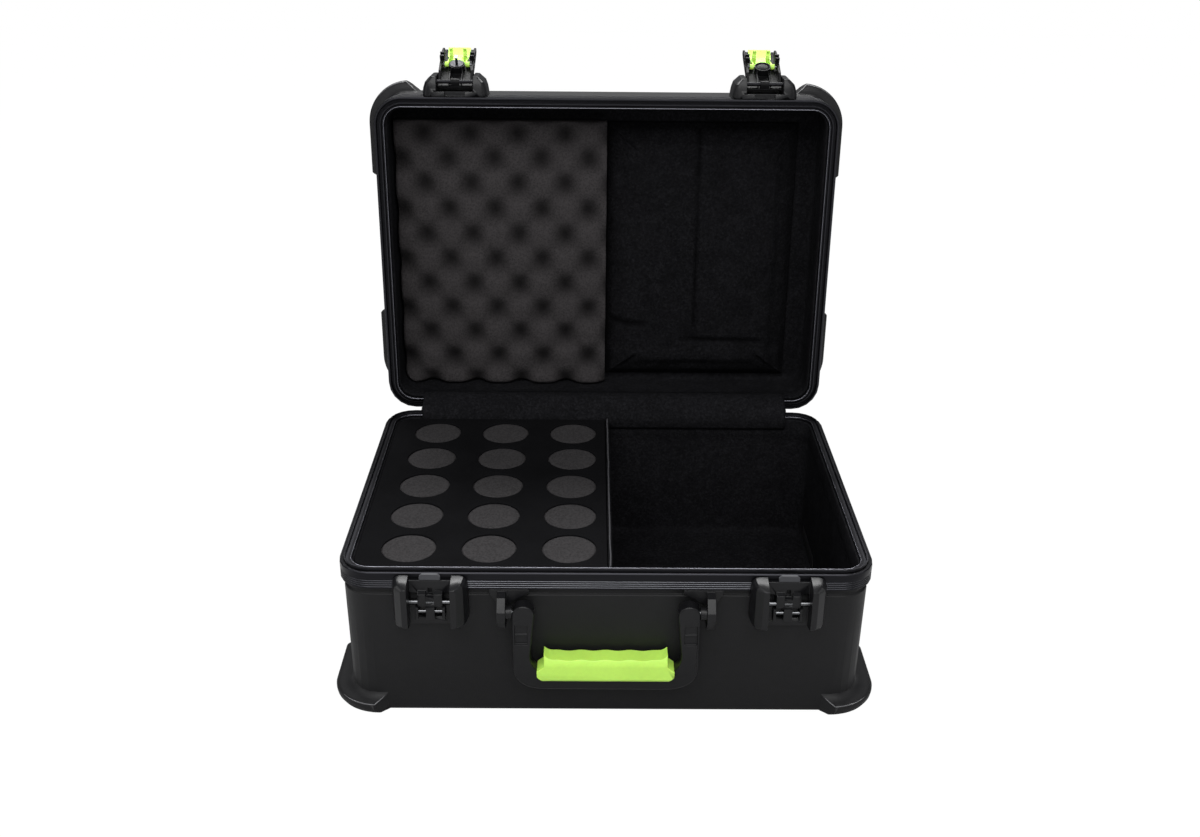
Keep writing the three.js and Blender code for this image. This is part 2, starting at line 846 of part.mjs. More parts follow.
// The flap follows the base wall, leans over both rims and runs on into the open lid.
function flapSolid() {
  const y = halfDepth - interiorInset - seatGap - flapThickness / 2;
  const lidPoint = (below) => {
    const reach = hingeY - y;
    const rise = lidLevel(below) - hingeZ;
    return [
      hingeY + Math.cos(openAngle) * -reach + Math.sin(openAngle) * rise,
      hingeZ + Math.sin(openAngle) * reach + Math.cos(openAngle) * rise,
    ];
  };
  const route = [
    [y, baseHeight - flapGluedHeight], [y, baseHeight],
    lidPoint(flapThickness), lidPoint(flapGluedHeight),
  ];
  const curve = new THREE.CatmullRomCurve3(
    route.map(([py, pz]) => new THREE.Vector3(0, py, pz)), false, 'centripetal');
  const front = [];
  const rear = [];
  for (let step = 0; step <= flapSteps; step += 1) {
    const point = curve.getPointAt(step / flapSteps);
    const along = curve.getTangentAt(step / flapSteps);
    front.push([point.y - along.z * flapThickness / 2, point.z + along.y * flapThickness / 2]);
    rear.unshift([point.y + along.z * flapThickness / 2, point.z - along.y * flapThickness / 2]);
  }
  return alongX([...front, ...rear], -flapLength / 2, flapLength / 2);
}

// Hinge

function hingeLeafSolid(side) {
  const isBase = side === 'base';
  const axis = hingeZ;
  const rimFace = halfDepth + seatGap;
  const away = isBase ? -1 : 1;
  const foot = axis + away * (leafHeight + knuckleRadius);
  const pitch = hingeLength / knuckleCount;
  const clear = knuckleRadius + knuckleEndGap;
  let leaf = block(-hingeLength / 2, hingeLength / 2, rimFace, rimFace + leafThickness,
    Math.min(foot, axis + away * clear), Math.max(foot, axis + away * clear));
  for (let i = isBase ? 0 : 1; i < knuckleCount; i += 2) {
    const fromX = -hingeLength / 2 + i * pitch + (i === 0 ? 0 : knuckleEndGap / 2);
    const toX = -hingeLength / 2 + (i + 1) * pitch - (i === knuckleCount - 1 ? 0 : knuckleEndGap / 2);
    const web = block(fromX, toX, rimFace, rimFace + leafThickness,
      Math.min(axis, axis + away * (clear + overrun)), Math.max(axis, axis + away * (clear + overrun)));
    leaf = join(leaf, web, rodX(knuckleRadius, fromX, toX, hingeY, axis));
  }
  const bore = hingePinRadius + seatGap;
  return cut(leaf, rodX(bore, -hingeLength / 2 - overrun, hingeLength / 2 + overrun, hingeY, axis));
}

// Latch guards

// A rounded outline in the (x, z) plane at one distance in front of the rim.
function guardLayer(side, inner, outer, low, high, reach) {
  const radius = Math.min(guardCorner, (outer - inner) / 2);
  const points = [];
  const arcs = [[outer, low, -1], [outer, high, 0]];
  points.push([inner, low], [outer - radius, low]);
  for (const [x, z, quarter] of arcs) {
    const up = z === high ? -1 : 1;
    for (let step = 0; step <= footSteps; step += 1) {
      const angle = (quarter + step / footSteps) * Math.PI / 2;
      points.push([x - radius + radius * Math.cos(angle), z + up * radius + radius * Math.sin(angle)]);
    }
  }
  points.push([inner, high]);
  return points.map(([x, z]) => [side * x, out(reach), z]);
}

// One side guard: wide at the wall, drawn in towards its crest.
function guardSolid(side, low, high, from) {
  const levels = 4;
  const rings = [];
  for (let i = 0; i <= levels; i += 1) {
    const share = i / levels;
    const reach = from + (guardReach - from) * share;
    const narrow = 1 - Math.sqrt(1 - share * share);
    const outer = guardOuter - (guardOuter - guardTopOuter) * narrow;
    const drawn = (guardOuter - guardTopOuter) * narrow / 2;
    rings.push(guardLayer(side, guardInner, outer, low + drawn, high - drawn, reach));
  }
  return stack(rings);
}

// Room behind a latch half for the rim frame and the shell's neck and step.
function rimRelief(low, high) {
  return block(-guardOuter - overrun, guardOuter + overrun, out(seatGap), out(-keeperBack - overrun), low, high);
}

// Keeper

function keeperSolid() {
  const belowFrame = baseHeight - frameHeight - seatGap;
  const stepZ = baseHeight - stepHeight;
  const plate = alongX([
    [out(-keeperBack), keeperBottom], [out(keeperFace), keeperBottom],
    [out(keeperFace), keeperTop], [out(-keeperBack), keeperTop],
  ], -guardInner - overrun, guardInner + overrun);
  const ribs = [-1, 1].map((side) => alongX([
    [out(0), keeperRibTop + keeperRibSlope], [out(keeperFace), keeperRibTop + keeperRibSlope],
    [out(keeperRibReach), keeperRibTop], [out(keeperRibReach), upperPinZ - keeperRibSlope],
    [out(keeperRibReach - keeperRibSlope), pocketTop], [out(0), pocketTop],
  ], ...span(side * keeperRibInner, side * keeperRibOuter)));
  const webs = [
    [-pinBoss, -keeperRibOuter + seatGap],
    [-keeperRibInner - seatGap, keeperRibInner + seatGap],
    [keeperRibOuter - seatGap, pinBoss],
  ].map(([fromX, toX]) => block(
    fromX, toX, out(keeperWebReach), out(0), pocketBottom + seatGap, pocketTop + seatGap));
  const core = block(-keeperRibInner - seatGap, keeperRibInner + seatGap,
    out(keeperCoreReach), out(0), pocketTop, keeperCoreTop);
  const guards = [-1, 1].map((side) => guardSolid(side, keeperBottom, keeperGuardTop, -keeperBack));
  const pockets = [-1, 1].map((side) => join(
    block(...span(side * (keeperRibInner + seatGap), side * (keeperRibOuter - seatGap)),
      out(keeperWebReach + overrun), out(-pocketFloor), pocketBottom, pocketTop),
    block(...span(side * (keeperRibOuter + seatGap), side * (guardInner - seatGap)),
      out(keeperFace + overrun), out(-pocketFloor), pocketTop + seatGap, keeperRibTop - seatGap),
  ));
  const bit = boltBitHalf + seatGap;
  const boltSlot = join(
    block(-boltSlotHalf, boltSlotHalf, out(keeperFace + overrun), out(boltPocketFloor),
      lockZ - bit, lockZ + bit),
    block(-boltPocketHalf, boltPocketHalf, out(boltPocketRoof), out(boltPocketFloor), lockZ - bit, lockZ + bit),
  );
  const bores = [
    rodX(upperPinRadius + seatGap, -guardInner, guardInner, out(upperPinOut), upperPinZ),
    rodX(lowerPinRadius + seatGap, -lowerPinHalf - seatGap, lowerPinHalf + seatGap,
      out(lowerPinOut), lowerPinZ),
  ];
  const relief = join(
    rimRelief(belowFrame, keeperGuardTop + overrun),
    block(-guardOuter - overrun, guardOuter + overrun, out(-neckInset), out(-keeperBack - overrun),
      stepZ, belowFrame + overrun),
  );
  return cut(join(cut(plate, ...pockets), ...ribs, ...webs, core, ...guards), relief, boltSlot, ...bores);
}

function tabSolid() {
  const foot = keeperTop + seatGap;
  const top = baseHeight + tabAboveRim;
  return alongY([
    [-tabHalfFoot, foot], [tabHalfFoot, foot], [tabHalfFoot, top - tabShoulder],
    [tabHalfTop, top], [-tabHalfTop, top], [-tabHalfFoot, top - tabShoulder],
  ], out(tabFaceOut), out(tabBackOut));
}

// Latch housing on the lid

function housingSolid() {
  const low = lidLevel(housingStart);
  const high = lidLevel(housingEnd);
  const behind = -keeperBack;
  const plate = alongX([
    [out(behind), low], [out(housingBlockOut), low],
    [out(housingBlockOut), low + housingBlockHeight], [out(housingFloor), low + housingBlockHeight],
    [out(housingFloor), high], [out(behind), high],
  ], -guardInner - overrun, guardInner + overrun);
  const guards = [-1, 1].map((side) => guardSolid(side, low, high, behind));
  const restOut = leverRestOut(stopHeight) - seatGap;
  const stops = [-1, 1].map((side) => block(...span(side * stopInner, side * (guardInner + seatGap)),
    out(restOut), out(0), lidLevel(stopHeight), lidLevel(stopHeight + stopThickness)));
  const slot = block(-slotHalf, slotHalf, out(slotFaceOut), out(slotBackOut), low - overrun, low + slotDepth);
  const pin = rodX(leverPinRadius + seatGap, -leverPinHalf - seatGap, leverPinHalf + seatGap,
    out(leverPivotOut), leverPivotZ);
  const relief = join(
    rimRelief(low - overrun, lidLevel(frameHeight + seatGap)),
    block(-guardOuter - overrun, guardOuter + overrun, out(-neckInset), out(behind - overrun),
      lidLevel(frameHeight), lidLevel(stepHeight)),
  );
  return cut(join(plate, ...stops, ...guards), relief, slot, pin);
}

// How far out the open lever's face lies at a height above the rim.
function leverRestOut(above) {
  const faceOff = leverFaceOut - leverPivotOut;
  const along = (above - leverPivotUp - faceOff * Math.sin(leverOpenAngle)) / -Math.cos(leverOpenAngle);
  return leverPivotOut + along * Math.sin(leverOpenAngle) + faceOff * Math.cos(leverOpenAngle);
}

// Lever, closed

// A length down the closed lever from its pivot, as a Z value.
const down = (length) => leverPivotZ - length;
const triggerPivotZ = down(triggerPivotDown);
const plateInner = leverFaceOut - leverPlate;
const plateMiddle = leverFaceOut - leverPlate / 2;

function leverSolid() {
  const bend = down(leverLength - leverTipSlope);
  const plate = alongX([
    [out(plateInner), down(-leverHeel)], [out(plateInner), bend],
    [out(leverTipOut - leverPlate), down(leverLength)], [out(leverTipOut), down(leverLength)],
    [out(leverFaceOut), bend], [out(leverFaceOut), leverPivotZ], [out(plateMiddle), down(-leverHeel)],
  ], -leverHalf, leverHalf);
  const sides = [-1, 1].map((side) => {
    const flange = alongX([
      [out(plateInner), down(leverFlangeStart / 2)], [out(leverPivotOut), down(leverFlangeStart)],
      [out(leverFlangeInner), down(2 * leverFlangeStart)], [out(leverFlangeInner), down(rivetDown)],
      [out((leverFlangeInner + leverFlangeTipInner) / 2), bend],
      [out(leverFlangeTipInner), down(leverLength)],
      [out(leverTipOut - leverPlate / 2), down(leverLength)], [out(plateMiddle), bend],
      [out(plateMiddle), down(leverFlangeStart / 2)],
    ], ...span(side * (leverHalf - leverFlange), side * leverHalf));
    const claw = block(...span(side * clawInner, side * leverHalf), out(clawRootOut), out(clawReachOut),
      upperPinZ - clawHalfHeight, upperPinZ + clawHalfHeight);
    const rib = block(...span(side * leverRibX - leverRibHalf, side * leverRibX + leverRibHalf),
      out(plateMiddle), out(leverRibReach), lockZ, down(0));
    return join(flange, claw, rib);
  });
  const knuckle = join(
    rodX(leverKnuckleRadius, -leverKnuckleHalf, leverKnuckleHalf, out(leverPivotOut), leverPivotZ, roundSteps),
    block(-leverKnuckleHalf, leverKnuckleHalf, out(plateMiddle), out(leverPivotOut),
      leverPivotZ - leverKnuckleRadius, leverPivotZ + leverKnuckleRadius),
  );
  const barrel = rodY(
    lockRadius + seatGap + lockBarrelWall, out(plateMiddle), out(lockInnerOut + lockRimThickness), 0, lockZ);
  const notch = upperPinRadius + clawClearance;
  const throat = block(-leverHalf - overrun, leverHalf + overrun, out(upperPinOut),
    out(clawReachOut - overrun), upperPinZ - notch, upperPinZ + notch);
  const across = (radius, distance, z) => rodX(
    radius, -leverHalf - overrun, leverHalf + overrun, out(distance), z, roundSteps);
  const opening = (half, top) => block(-half - seatGap, half + seatGap, out(leverFaceOut + overrun),
    out(clawReachOut), down(leverLength + overrun), top);
  return cut(
    join(plate, ...sides, knuckle, barrel), throat,
    opening(triggerHalf, down(triggerWindowTop)),
    opening(triggerTipHalf, down(triggerTipDown - triggerTipRelief)),
    across(leverPinRadius + seatGap, leverPivotOut, leverPivotZ),
    across(triggerPinRadius + seatGap, leverPivotOut, triggerPivotZ),
    across(rivetRadius + seatGap, leverPivotOut, down(rivetDown)),
    across(notch, upperPinOut, upperPinZ),
    rodY(lockRadius + seatGap, out(leverFaceOut + overrun), out(lockInnerOut - overrun), 0, lockZ),
  );
}

function triggerSolid() {
  const padInner = triggerFaceOut - triggerPad;
  const padMiddle = triggerFaceOut - triggerPad / 2;
  const slope = (triggerFaceOut - triggerLipOut) / 2;
  const section = [
    [out(padInner), down(triggerPadTop)], [out(padInner), down(triggerBendDown)],
    [out(padInner - slope), down(triggerLength - triggerPad)],
    [out(triggerLipOut - triggerPad / 2), down(triggerLength)], [out(triggerLipOut), down(triggerLength)],
    [out(triggerFaceOut - slope), down(triggerLength - triggerPad)],
    [out(triggerFaceOut), down(triggerBendDown)], [out(triggerFaceOut), down(triggerPadTop)],
  ];
  const tip = alongX(section, -triggerTipHalf, triggerTipHalf).intersect(
    block(-triggerTipHalf, triggerTipHalf, out(leverFaceOut + overrun), out(0),
      down(triggerLength + overrun), down(triggerTipDown)));
  const ridges = [];
  for (let i = 0; i < gripRidges; i += 1) {
    ridges.push(rodX(gripRidgeRadius, -triggerHalf + gripRidgeRadius, triggerHalf - gripRidgeRadius,
      out(triggerFaceOut), down(gripRidgeStart + i * gripRidgePitch)));
  }
  const lipOut = lowerPinOut - lowerPinRadius - hookClearance;
  const armOut = lowerPinOut + lowerPinRadius + hookClearance;
  const hookTop = lowerPinZ - lowerPinRadius - hookClearance;
  const sides = [-1, 1].map((side) => {
    const eye = rodX(triggerEyeRadius, ...span(side * triggerEyeInner, side * triggerEyeOuter),
      out(leverPivotOut), triggerPivotZ, roundSteps);
    const arm = alongX([
      [out(leverPivotOut - triggerEyeRadius), triggerPivotZ],
      [out(leverPivotOut + triggerEyeRadius), triggerPivotZ],
      [out(leverPivotOut + triggerArmNeck), down(triggerPadTop - triggerArmStep)],
      [out(padMiddle), down(triggerPadTop)],
      [out(padMiddle), down(triggerArmEnd)], [out(padInner - triggerPad), down(triggerArmEnd)],
      [out(leverPivotOut - triggerEyeRadius), triggerPivotZ - triggerEyeRadius],
    ], ...span(side * triggerEyeInner, side * triggerHalf));
    const hook = alongX([
      [out(lipOut - hookLip), hookTop - hookThickness], [out(armOut + hookArmWidth), hookTop - hookThickness],
      [out(padMiddle), hookArmFoot], [out(padMiddle), hookArmTop],
      [out(armOut + hookArmWidth), hookArmTop], [out(armOut), lowerPinZ],
      [out(armOut), hookTop], [out(lipOut), hookTop],
      [out(lipOut), hookTop + hookLipRise], [out(lipOut - hookLip), hookTop],
    ], ...span(side * hookInner, side * hookOuter));
    return join(eye, arm, hook);
  });
  const hole = rodX(triggerPinRadius + seatGap, -triggerEyeOuter - overrun, triggerEyeOuter + overrun,
    out(leverPivotOut), triggerPivotZ);
  return cut(join(alongX(section, -triggerHalf, triggerHalf), tip, ...ridges, ...sides), hole);
}

// One unbroken wire: a leg, the turns round the pin, and the other leg.
function springSolid() {
  const radius = springInnerRadius + springWire / 2;
  const total = springTurns * springStepsPerTurn;
  const points = [];
  for (let i = 0; i <= total; i += 1) {
    const angle = 2 * Math.PI * i / springStepsPerTurn;
    points.push(new THREE.Vector3(
      springLength * (i / total - 1 / 2) - springMiddleX,
      out(leverPivotOut + radius * Math.cos(angle)),
      triggerPivotZ + radius * Math.sin(angle),
    ));
  }
  const leg = new THREE.Vector3(0, 0, springLeg);
  points.unshift(points[0].clone().sub(leg));
  points.push(points[points.length - 1].clone().add(leg));
  const curve = new THREE.CatmullRomCurve3(points, false, 'centripetal');
  const section = new THREE.Shape();
  section.absarc(0, 0, springWire / 2, 0, Math.PI * 2, false);
  return solidOf(new THREE.ExtrudeGeometry(section, {
    steps: total + 2, extrudePath: curve, curveSegments: springSides / 2, bevelEnabled: false,
  }));
}

// Lock, bolt and plug

function lockCylinderSolid() {
  const body = rodY(lockRadius, out(lockFaceOut - lockRimThickness), out(lockInnerOut), 0, lockZ);
  const rim = rodY(lockRimRadius, out(lockFaceOut), out(leverFaceOut + seatGap), 0, lockZ);
  const slot = block(-keySlotWidth / 2, keySlotWidth / 2, out(lockFaceOut + overrun),
    out(lockFaceOut - keySlotDepth), lockZ - keySlotLength / 2, lockZ + keySlotLength / 2);
  return cut(join(body, rim), slot);
}

// A post on the back of the lock with a bit across its end.
function lockBoltSolid() {
  const post = rodY(boltRadius, out(lockInnerOut - seatGap), out(boltEndOut), 0, lockZ, smallRoundSteps);
  const bit = block(-boltRadius, boltRadius, out(boltEndOut + boltBitThickness), out(boltEndOut),
    lockZ - boltBitHalf, lockZ + boltBitHalf);
  return join(post, bit);
}

function plugSolid() {
  const profile = [[0, 0], [lockRadius, 0]];
  const length = leverFaceOut + seatGap - lockInnerOut;
  profile.push([lockRadius, length], [lockRimRadius, length]);
  profile.push([lockRimRadius, length + lockRimThickness], [0, length + lockRimThickness]);
  const dome = [];
  for (let step = 0; step <= plugDomeSteps; step += 1) {
    const angle = step / plugDomeSteps * Math.PI / 2;
    dome.push([lockRadius * Math.sin(angle), plugDome * (1 - Math.cos(angle))]);
  }
  const points = [...dome, ...profile.slice(2)].map(([r, h]) => new THREE.Vector2(r, h));
  const geometry = new THREE.LatheGeometry([...points, points[0].clone()], roundSteps);
  geometry.rotateX(Math.PI);
  geometry.translate(0, out(lockInnerOut), lockZ);
  return solidOf(geometry);
}

// Handle

const bailBottomZ = handlePivotZ - bailDrop;
const bailBackOut = handlePivotOut - bailThickness / 2;
const bailFaceOut = handlePivotOut + bailThickness / 2;

function bailOutline() {
  const shape = new THREE.Shape();
  const armInner = bailHalf - bailArmWidth;
  shape.moveTo(-bailHalf, handlePivotZ);
  shape.lineTo(-bailHalf, bailBottomZ + bailCornerHeight);
  shape.bezierCurveTo(-bailHalf, bailBottomZ + bailCornerHeight / 3,
    -bailHalf + bailCornerWidth / 3, bailBottomZ, -bailHalf + bailCornerWidth, bailBottomZ);
  shape.lineTo(bailHalf - bailCornerWidth, bailBottomZ);
  shape.bezierCurveTo(bailHalf - bailCornerWidth / 3, bailBottomZ,
    bailHalf, bailBottomZ + bailCornerHeight / 3, bailHalf, bailBottomZ + bailCornerHeight);
  shape.lineTo(bailHalf, handlePivotZ);
  shape.absarc(bailHalf - bailEyeRadius, handlePivotZ, bailEyeRadius, 0, Math.PI, false);
  shape.lineTo(armInner, bailBottomZ + bailBarHeight + bailInnerCorner);
  shape.quadraticCurveTo(armInner, bailBottomZ + bailBarHeight,
    armInner - bailInnerCorner, bailBottomZ + bailBarHeight);
  shape.lineTo(-armInner + bailInnerCorner, bailBottomZ + bailBarHeight);
  shape.quadraticCurveTo(-armInner, bailBottomZ + bailBarHeight,
    -armInner, bailBottomZ + bailBarHeight + bailInnerCorner);
  shape.lineTo(-bailHalf + 2 * bailEyeRadius, handlePivotZ);
  shape.absarc(-bailHalf + bailEyeRadius, handlePivotZ, bailEyeRadius, 0, Math.PI, false);
  return shape;
}

function bailSolid() {
  const body = alongY(bailOutline(), out(bailFaceOut), out(bailBackOut), bailEdge);
  const slotMiddle = bailHalf - bailArmWidth / 2;
  const slots = [-1, 1].map((side) => block(
    side * slotMiddle - armSlotWidth / 2, side * slotMiddle + armSlotWidth / 2,
    out(bailFaceOut + overrun), out(bailFaceOut - armSlotDepth),
    handlePivotZ - armSlotDown - armSlotHeight, handlePivotZ - armSlotDown));
  const bores = [-1, 1].map((side) => rodX(handlePinRadius + seatGap,
    Math.min(side * bailHalf, side * (bailHalf - bailArmWidth)) - overrun,
    Math.max(side * bailHalf, side * (bailHalf - bailArmWidth)) + overrun,
    out(handlePivotOut), handlePivotZ));
  const bars = [];
  for (const side of [-1, 1]) {
    for (let i = 1; i <= armSlotBars; i += 1) {
      const z = handlePivotZ - armSlotDown - armSlotHeight * i / (armSlotBars + 1);
      bars.push(block(
        side * slotMiddle - armSlotWidth / 2 - seatGap, side * slotMiddle + armSlotWidth / 2 + seatGap,
        out(bailFaceOut - armSlotBarDrop), out(handlePivotOut),
        z - armSlotBarHeight / 2, z + armSlotBarHeight / 2));
    }
  }
  return cut(join(cut(body, ...slots), ...bars), ...bores, gripSolid(seatGap));
}

// The grip wraps the bar of the bail: flat below, five finger swells above.
function gripSolid(grow) {
  const low = bailBottomZ + gripBottomUp - grow;
  const high = low + gripHeight + 2 * grow;
  const middle = (low + high) / 2;
  const half = gripHalf + grow;
  const upperHalf = gripUpperHalf + grow;
  const points = [[-upperHalf, low], [upperHalf, low], [half, (low + middle) / 2], [half, middle]];
  points.push([upperHalf, middle + gripHornHeight]);
  for (let step = 0; step <= gripOutlineSteps; step += 1) {
    const share = step / gripOutlineSteps;
    const away = Math.abs(1 - 2 * share);
    const swell = gripBumpRise * (1 - Math.cos(2 * Math.PI * gripBumps * share)) / 2;
    const horn = gripHornHeight * Math.max(0, 1 - (1 - away) / gripHornShare) ** 2;
    points.push([upperHalf * (1 - 2 * share), high + swell + horn]);
  }
  points.push([-upperHalf, middle + gripHornHeight], [-half, middle], [-half, (low + middle) / 2]);
  const back = handlePivotOut - gripThickness * (1 - gripCrownShare) - grow;
  const face = handlePivotOut + gripThickness * gripCrownShare + grow;
  const front = alongY(points, out(face), out(back));
  const top = high + gripHornHeight + overrun;
  const section = [[out(back), top], [out(back), low + gripEdge], [out(back + gripEdge), low]];
  section.push([out(face - gripEdge), low]);
  for (let step = 1; step <= smallRoundSteps; step += 1) {
    const angle = step / smallRoundSteps * Math.PI / 2;
    section.push([
      out(face - gripEdge + gripEdge * Math.sin(angle)),
      low + gripEdge * (1 - Math.cos(angle)),
    ]);
  }
  section.push([out(face), high - gripEdge], [out(face - gripEdge), high + gripHornHeight]);
  section.push([out(face - gripEdge), top]);
  return front.intersect(alongX(section, -half, half));
}

function bracketSolid() {
  const wall = -wallInsetAtStep + seatGap;
  const flangeTop = baseHeight - frameHeight - seatGap;
  const cheek = alongX([
    [out(-neckInset + seatGap), flangeTop], [out(handlePivotOut), flangeTop - bracketFlangeThickness],
    [out(handlePivotOut + bracketCheekRadius), handlePivotZ + bracketCheekRadius / 2],
    [out(handlePivotOut + bracketCheekRadius), handlePivotZ - bracketCheekRadius / 2],
    [out(handlePivotOut), handlePivotZ - 2 * bracketCheekRadius],
    [out(wall), handlePivotZ - 2 * bracketCheekRadius],
    [out(wall), baseHeight - stepHeight], [out(-neckInset + seatGap), baseHeight - stepHeight + stepRise],
  ], bracketInner, bracketOuter);
  const boss = rodX(bracketCheekRadius * 2 / 3, bailHalf + seatGap, bracketInner + bracketBoss,
    out(handlePivotOut), handlePivotZ, roundSteps);
  const flange = alongY([
    [bracketFlangeInner, flangeTop], [bracketFlangeInner, flangeTop - bracketFlangeThickness],
    [bracketInner, flangeTop - bracketFlangeTop], [bracketOuter, flangeTop - bracketFlangeTop],
    [bracketFlangeOuter, flangeTop - bracketFlangeThickness], [bracketFlangeOuter, flangeTop],
  ], out(bailBackOut - bailEdge - seatGap), out(wall));
  const pin = rodX(handlePinRadius + seatGap, bracketInner - overrun - bailArmWidth, bracketOuter + overrun,
    out(handlePivotOut), handlePivotZ);
  const step = block(bracketFlangeInner - overrun, bracketFlangeOuter + overrun, out(-wallInsetAtStep + seatGap),
    out(-neckInset - overrun), flangeTop - frameHeight, baseHeight - stepHeight);
  return cut(join(cheek, boss, flange), pin, step);
}

function handlePinSolid() {
  return rodX(handlePinRadius, bailHalf - bailArmWidth, bracketOuter, out(handlePivotOut), handlePivotZ);
}

// Assembly

const group = new THREE.Group();
group.name = 'microphone_case';

const material = (finish) => new THREE.MeshStandardMaterial(finishes[finish]);

function piece(parent, name, solid, finish) {
  const mesh = new THREE.Mesh(geometryOf(solid), material(finish));
  mesh.name = name;
  parent.add(mesh);
  return mesh;
}

// A body that turns about a line along X, drawn in the closed case's place.
function turned(parent, x, y, z, angle) {
  const pivot = new THREE.Group();
  pivot.position.set(x, y, z);
  pivot.rotation.x = angle;
  parent.add(pivot);
  const inner = new THREE.Group();
  inner.position.set(0, -y, -z);
  pivot.add(inner);
  return inner;
}

const lid = turned(group, 0, hingeY, hingeZ, -openAngle);

piece(group, 'base_shell', shellSolid(baseHeight, framePlate, baseLevel), 'moulded');
piece(group, 'base_frame', frameSolid(framePlate, tongue, baseLevel), 'frame');
piece(group, 'base_lining', liningSolid(baseHeight, framePlate, baseLevel), 'plush');
piece(group, 'divider_panel', dividerSolid(), 'plush');
piece(group, 'divider_piping', pipingSolid(), 'piping');
piece(group, 'foam_block', leftBay(contentFloorZ, contentTopZ - skinThickness - seatGap), 'foam');
piece(group, 'foam_top_skin', foamSkinSolid(), 'skin');
piece(group, 'hinge_flap', flapSolid(), 'plush');
piece(group, 'hinge_leaf_base', hingeLeafSolid('base'), 'frame');
piece(group, 'hinge_pin', rodX(hingePinRadius, -hingeLength / 2, hingeLength / 2, hingeY, hingeZ), 'steel');

piece(lid, 'lid_shell', shellSolid(lidDepth, groovePlate, lidLevel), 'moulded');
piece(lid, 'lid_frame', frameSolid(groovePlate, groove, lidLevel), 'frame');
piece(lid, 'lid_lining', liningSolid(lidDepth, groovePlate, lidLevel), 'plush');
piece(lid, 'lid_crate_foam', crateFoamSolid(), 'crate');
piece(lid, 'lid_pad', padSolid(), 'plush');
piece(lid, 'hinge_leaf_lid', hingeLeafSolid('lid'), 'frame');

piece(group, 'handle_bail', bailSolid(), 'hardware');
piece(group, 'handle_grip', gripSolid(0), 'lime');
for (const [name, sign] of [['left', -1], ['right', 1]]) {
  piece(group, `handle_bracket_${name}`, mirrored(bracketSolid(), sign), 'hardware');
  piece(group, `handle_pin_${name}`, mirrored(handlePinSolid(), sign), 'steel');
}

for (const [name, x] of [['left', leftLatchX], ['right', rightLatchX]]) {
  const keeper = turned(group, x, 0, 0, 0);
  piece(keeper, `keeper_${name}`, keeperSolid(), 'hardware');
  piece(keeper, `keeper_tab_${name}`, tabSolid(), 'tab');
  piece(keeper, `keeper_upper_pin_${name}`,
    rodX(upperPinRadius, -guardInner, guardInner, out(upperPinOut), upperPinZ), 'steel');
  piece(keeper, `keeper_lower_pin_${name}`,
    rodX(lowerPinRadius, -lowerPinHalf, lowerPinHalf, out(lowerPinOut), lowerPinZ), 'steel');

  const housing = turned(lid, x, 0, 0, 0);
  piece(housing, `latch_housing_${name}`, housingSolid(), 'hardware');
  piece(housing, `lever_pin_${name}`,
    rodX(leverPinRadius, -leverPinHalf, leverPinHalf, out(leverPivotOut), leverPivotZ), 'steel');

  const lever = turned(lid, x, out(leverPivotOut), leverPivotZ, -leverOpenAngle);
  piece(lever, `lever_${name}`, leverSolid(), 'hardware');
  piece(lever, `trigger_${name}`, triggerSolid(), 'lime');
  piece(lever, `trigger_spring_${name}`, springSolid(), 'steel');
  for (const [end, side] of [['a', -1], ['b', 1]]) {
    piece(lever, `trigger_pin_${name}_${end}`, rodX(triggerPinRadius,
      ...span(side * triggerPinInner, side * triggerPinOuter), out(leverPivotOut), triggerPivotZ), 'steel');
    piece(lever, `lever_rivet_${name}_${end}`, rodX(rivetRadius,
      ...span(side * rivetInner, side * rivetOuter), out(leverPivotOut), down(rivetDown)), 'steel');
  }
  if (name === 'left') {
    piece(lever, 'lock_cylinder', lockCylinderSolid(), 'steel');
    piece(lever, 'lock_bolt', lockBoltSolid(), 'steel');
  } else {
    piece(lever, 'blank_plug', plugSolid(), 'hardware');
  }
}

export default group;
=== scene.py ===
"""Looks of a hard microphone case: shells, rim frames, padded interior, latches and handle."""

import json
import math

import bmesh
import bpy
from mathutils import Matrix, Vector, noise

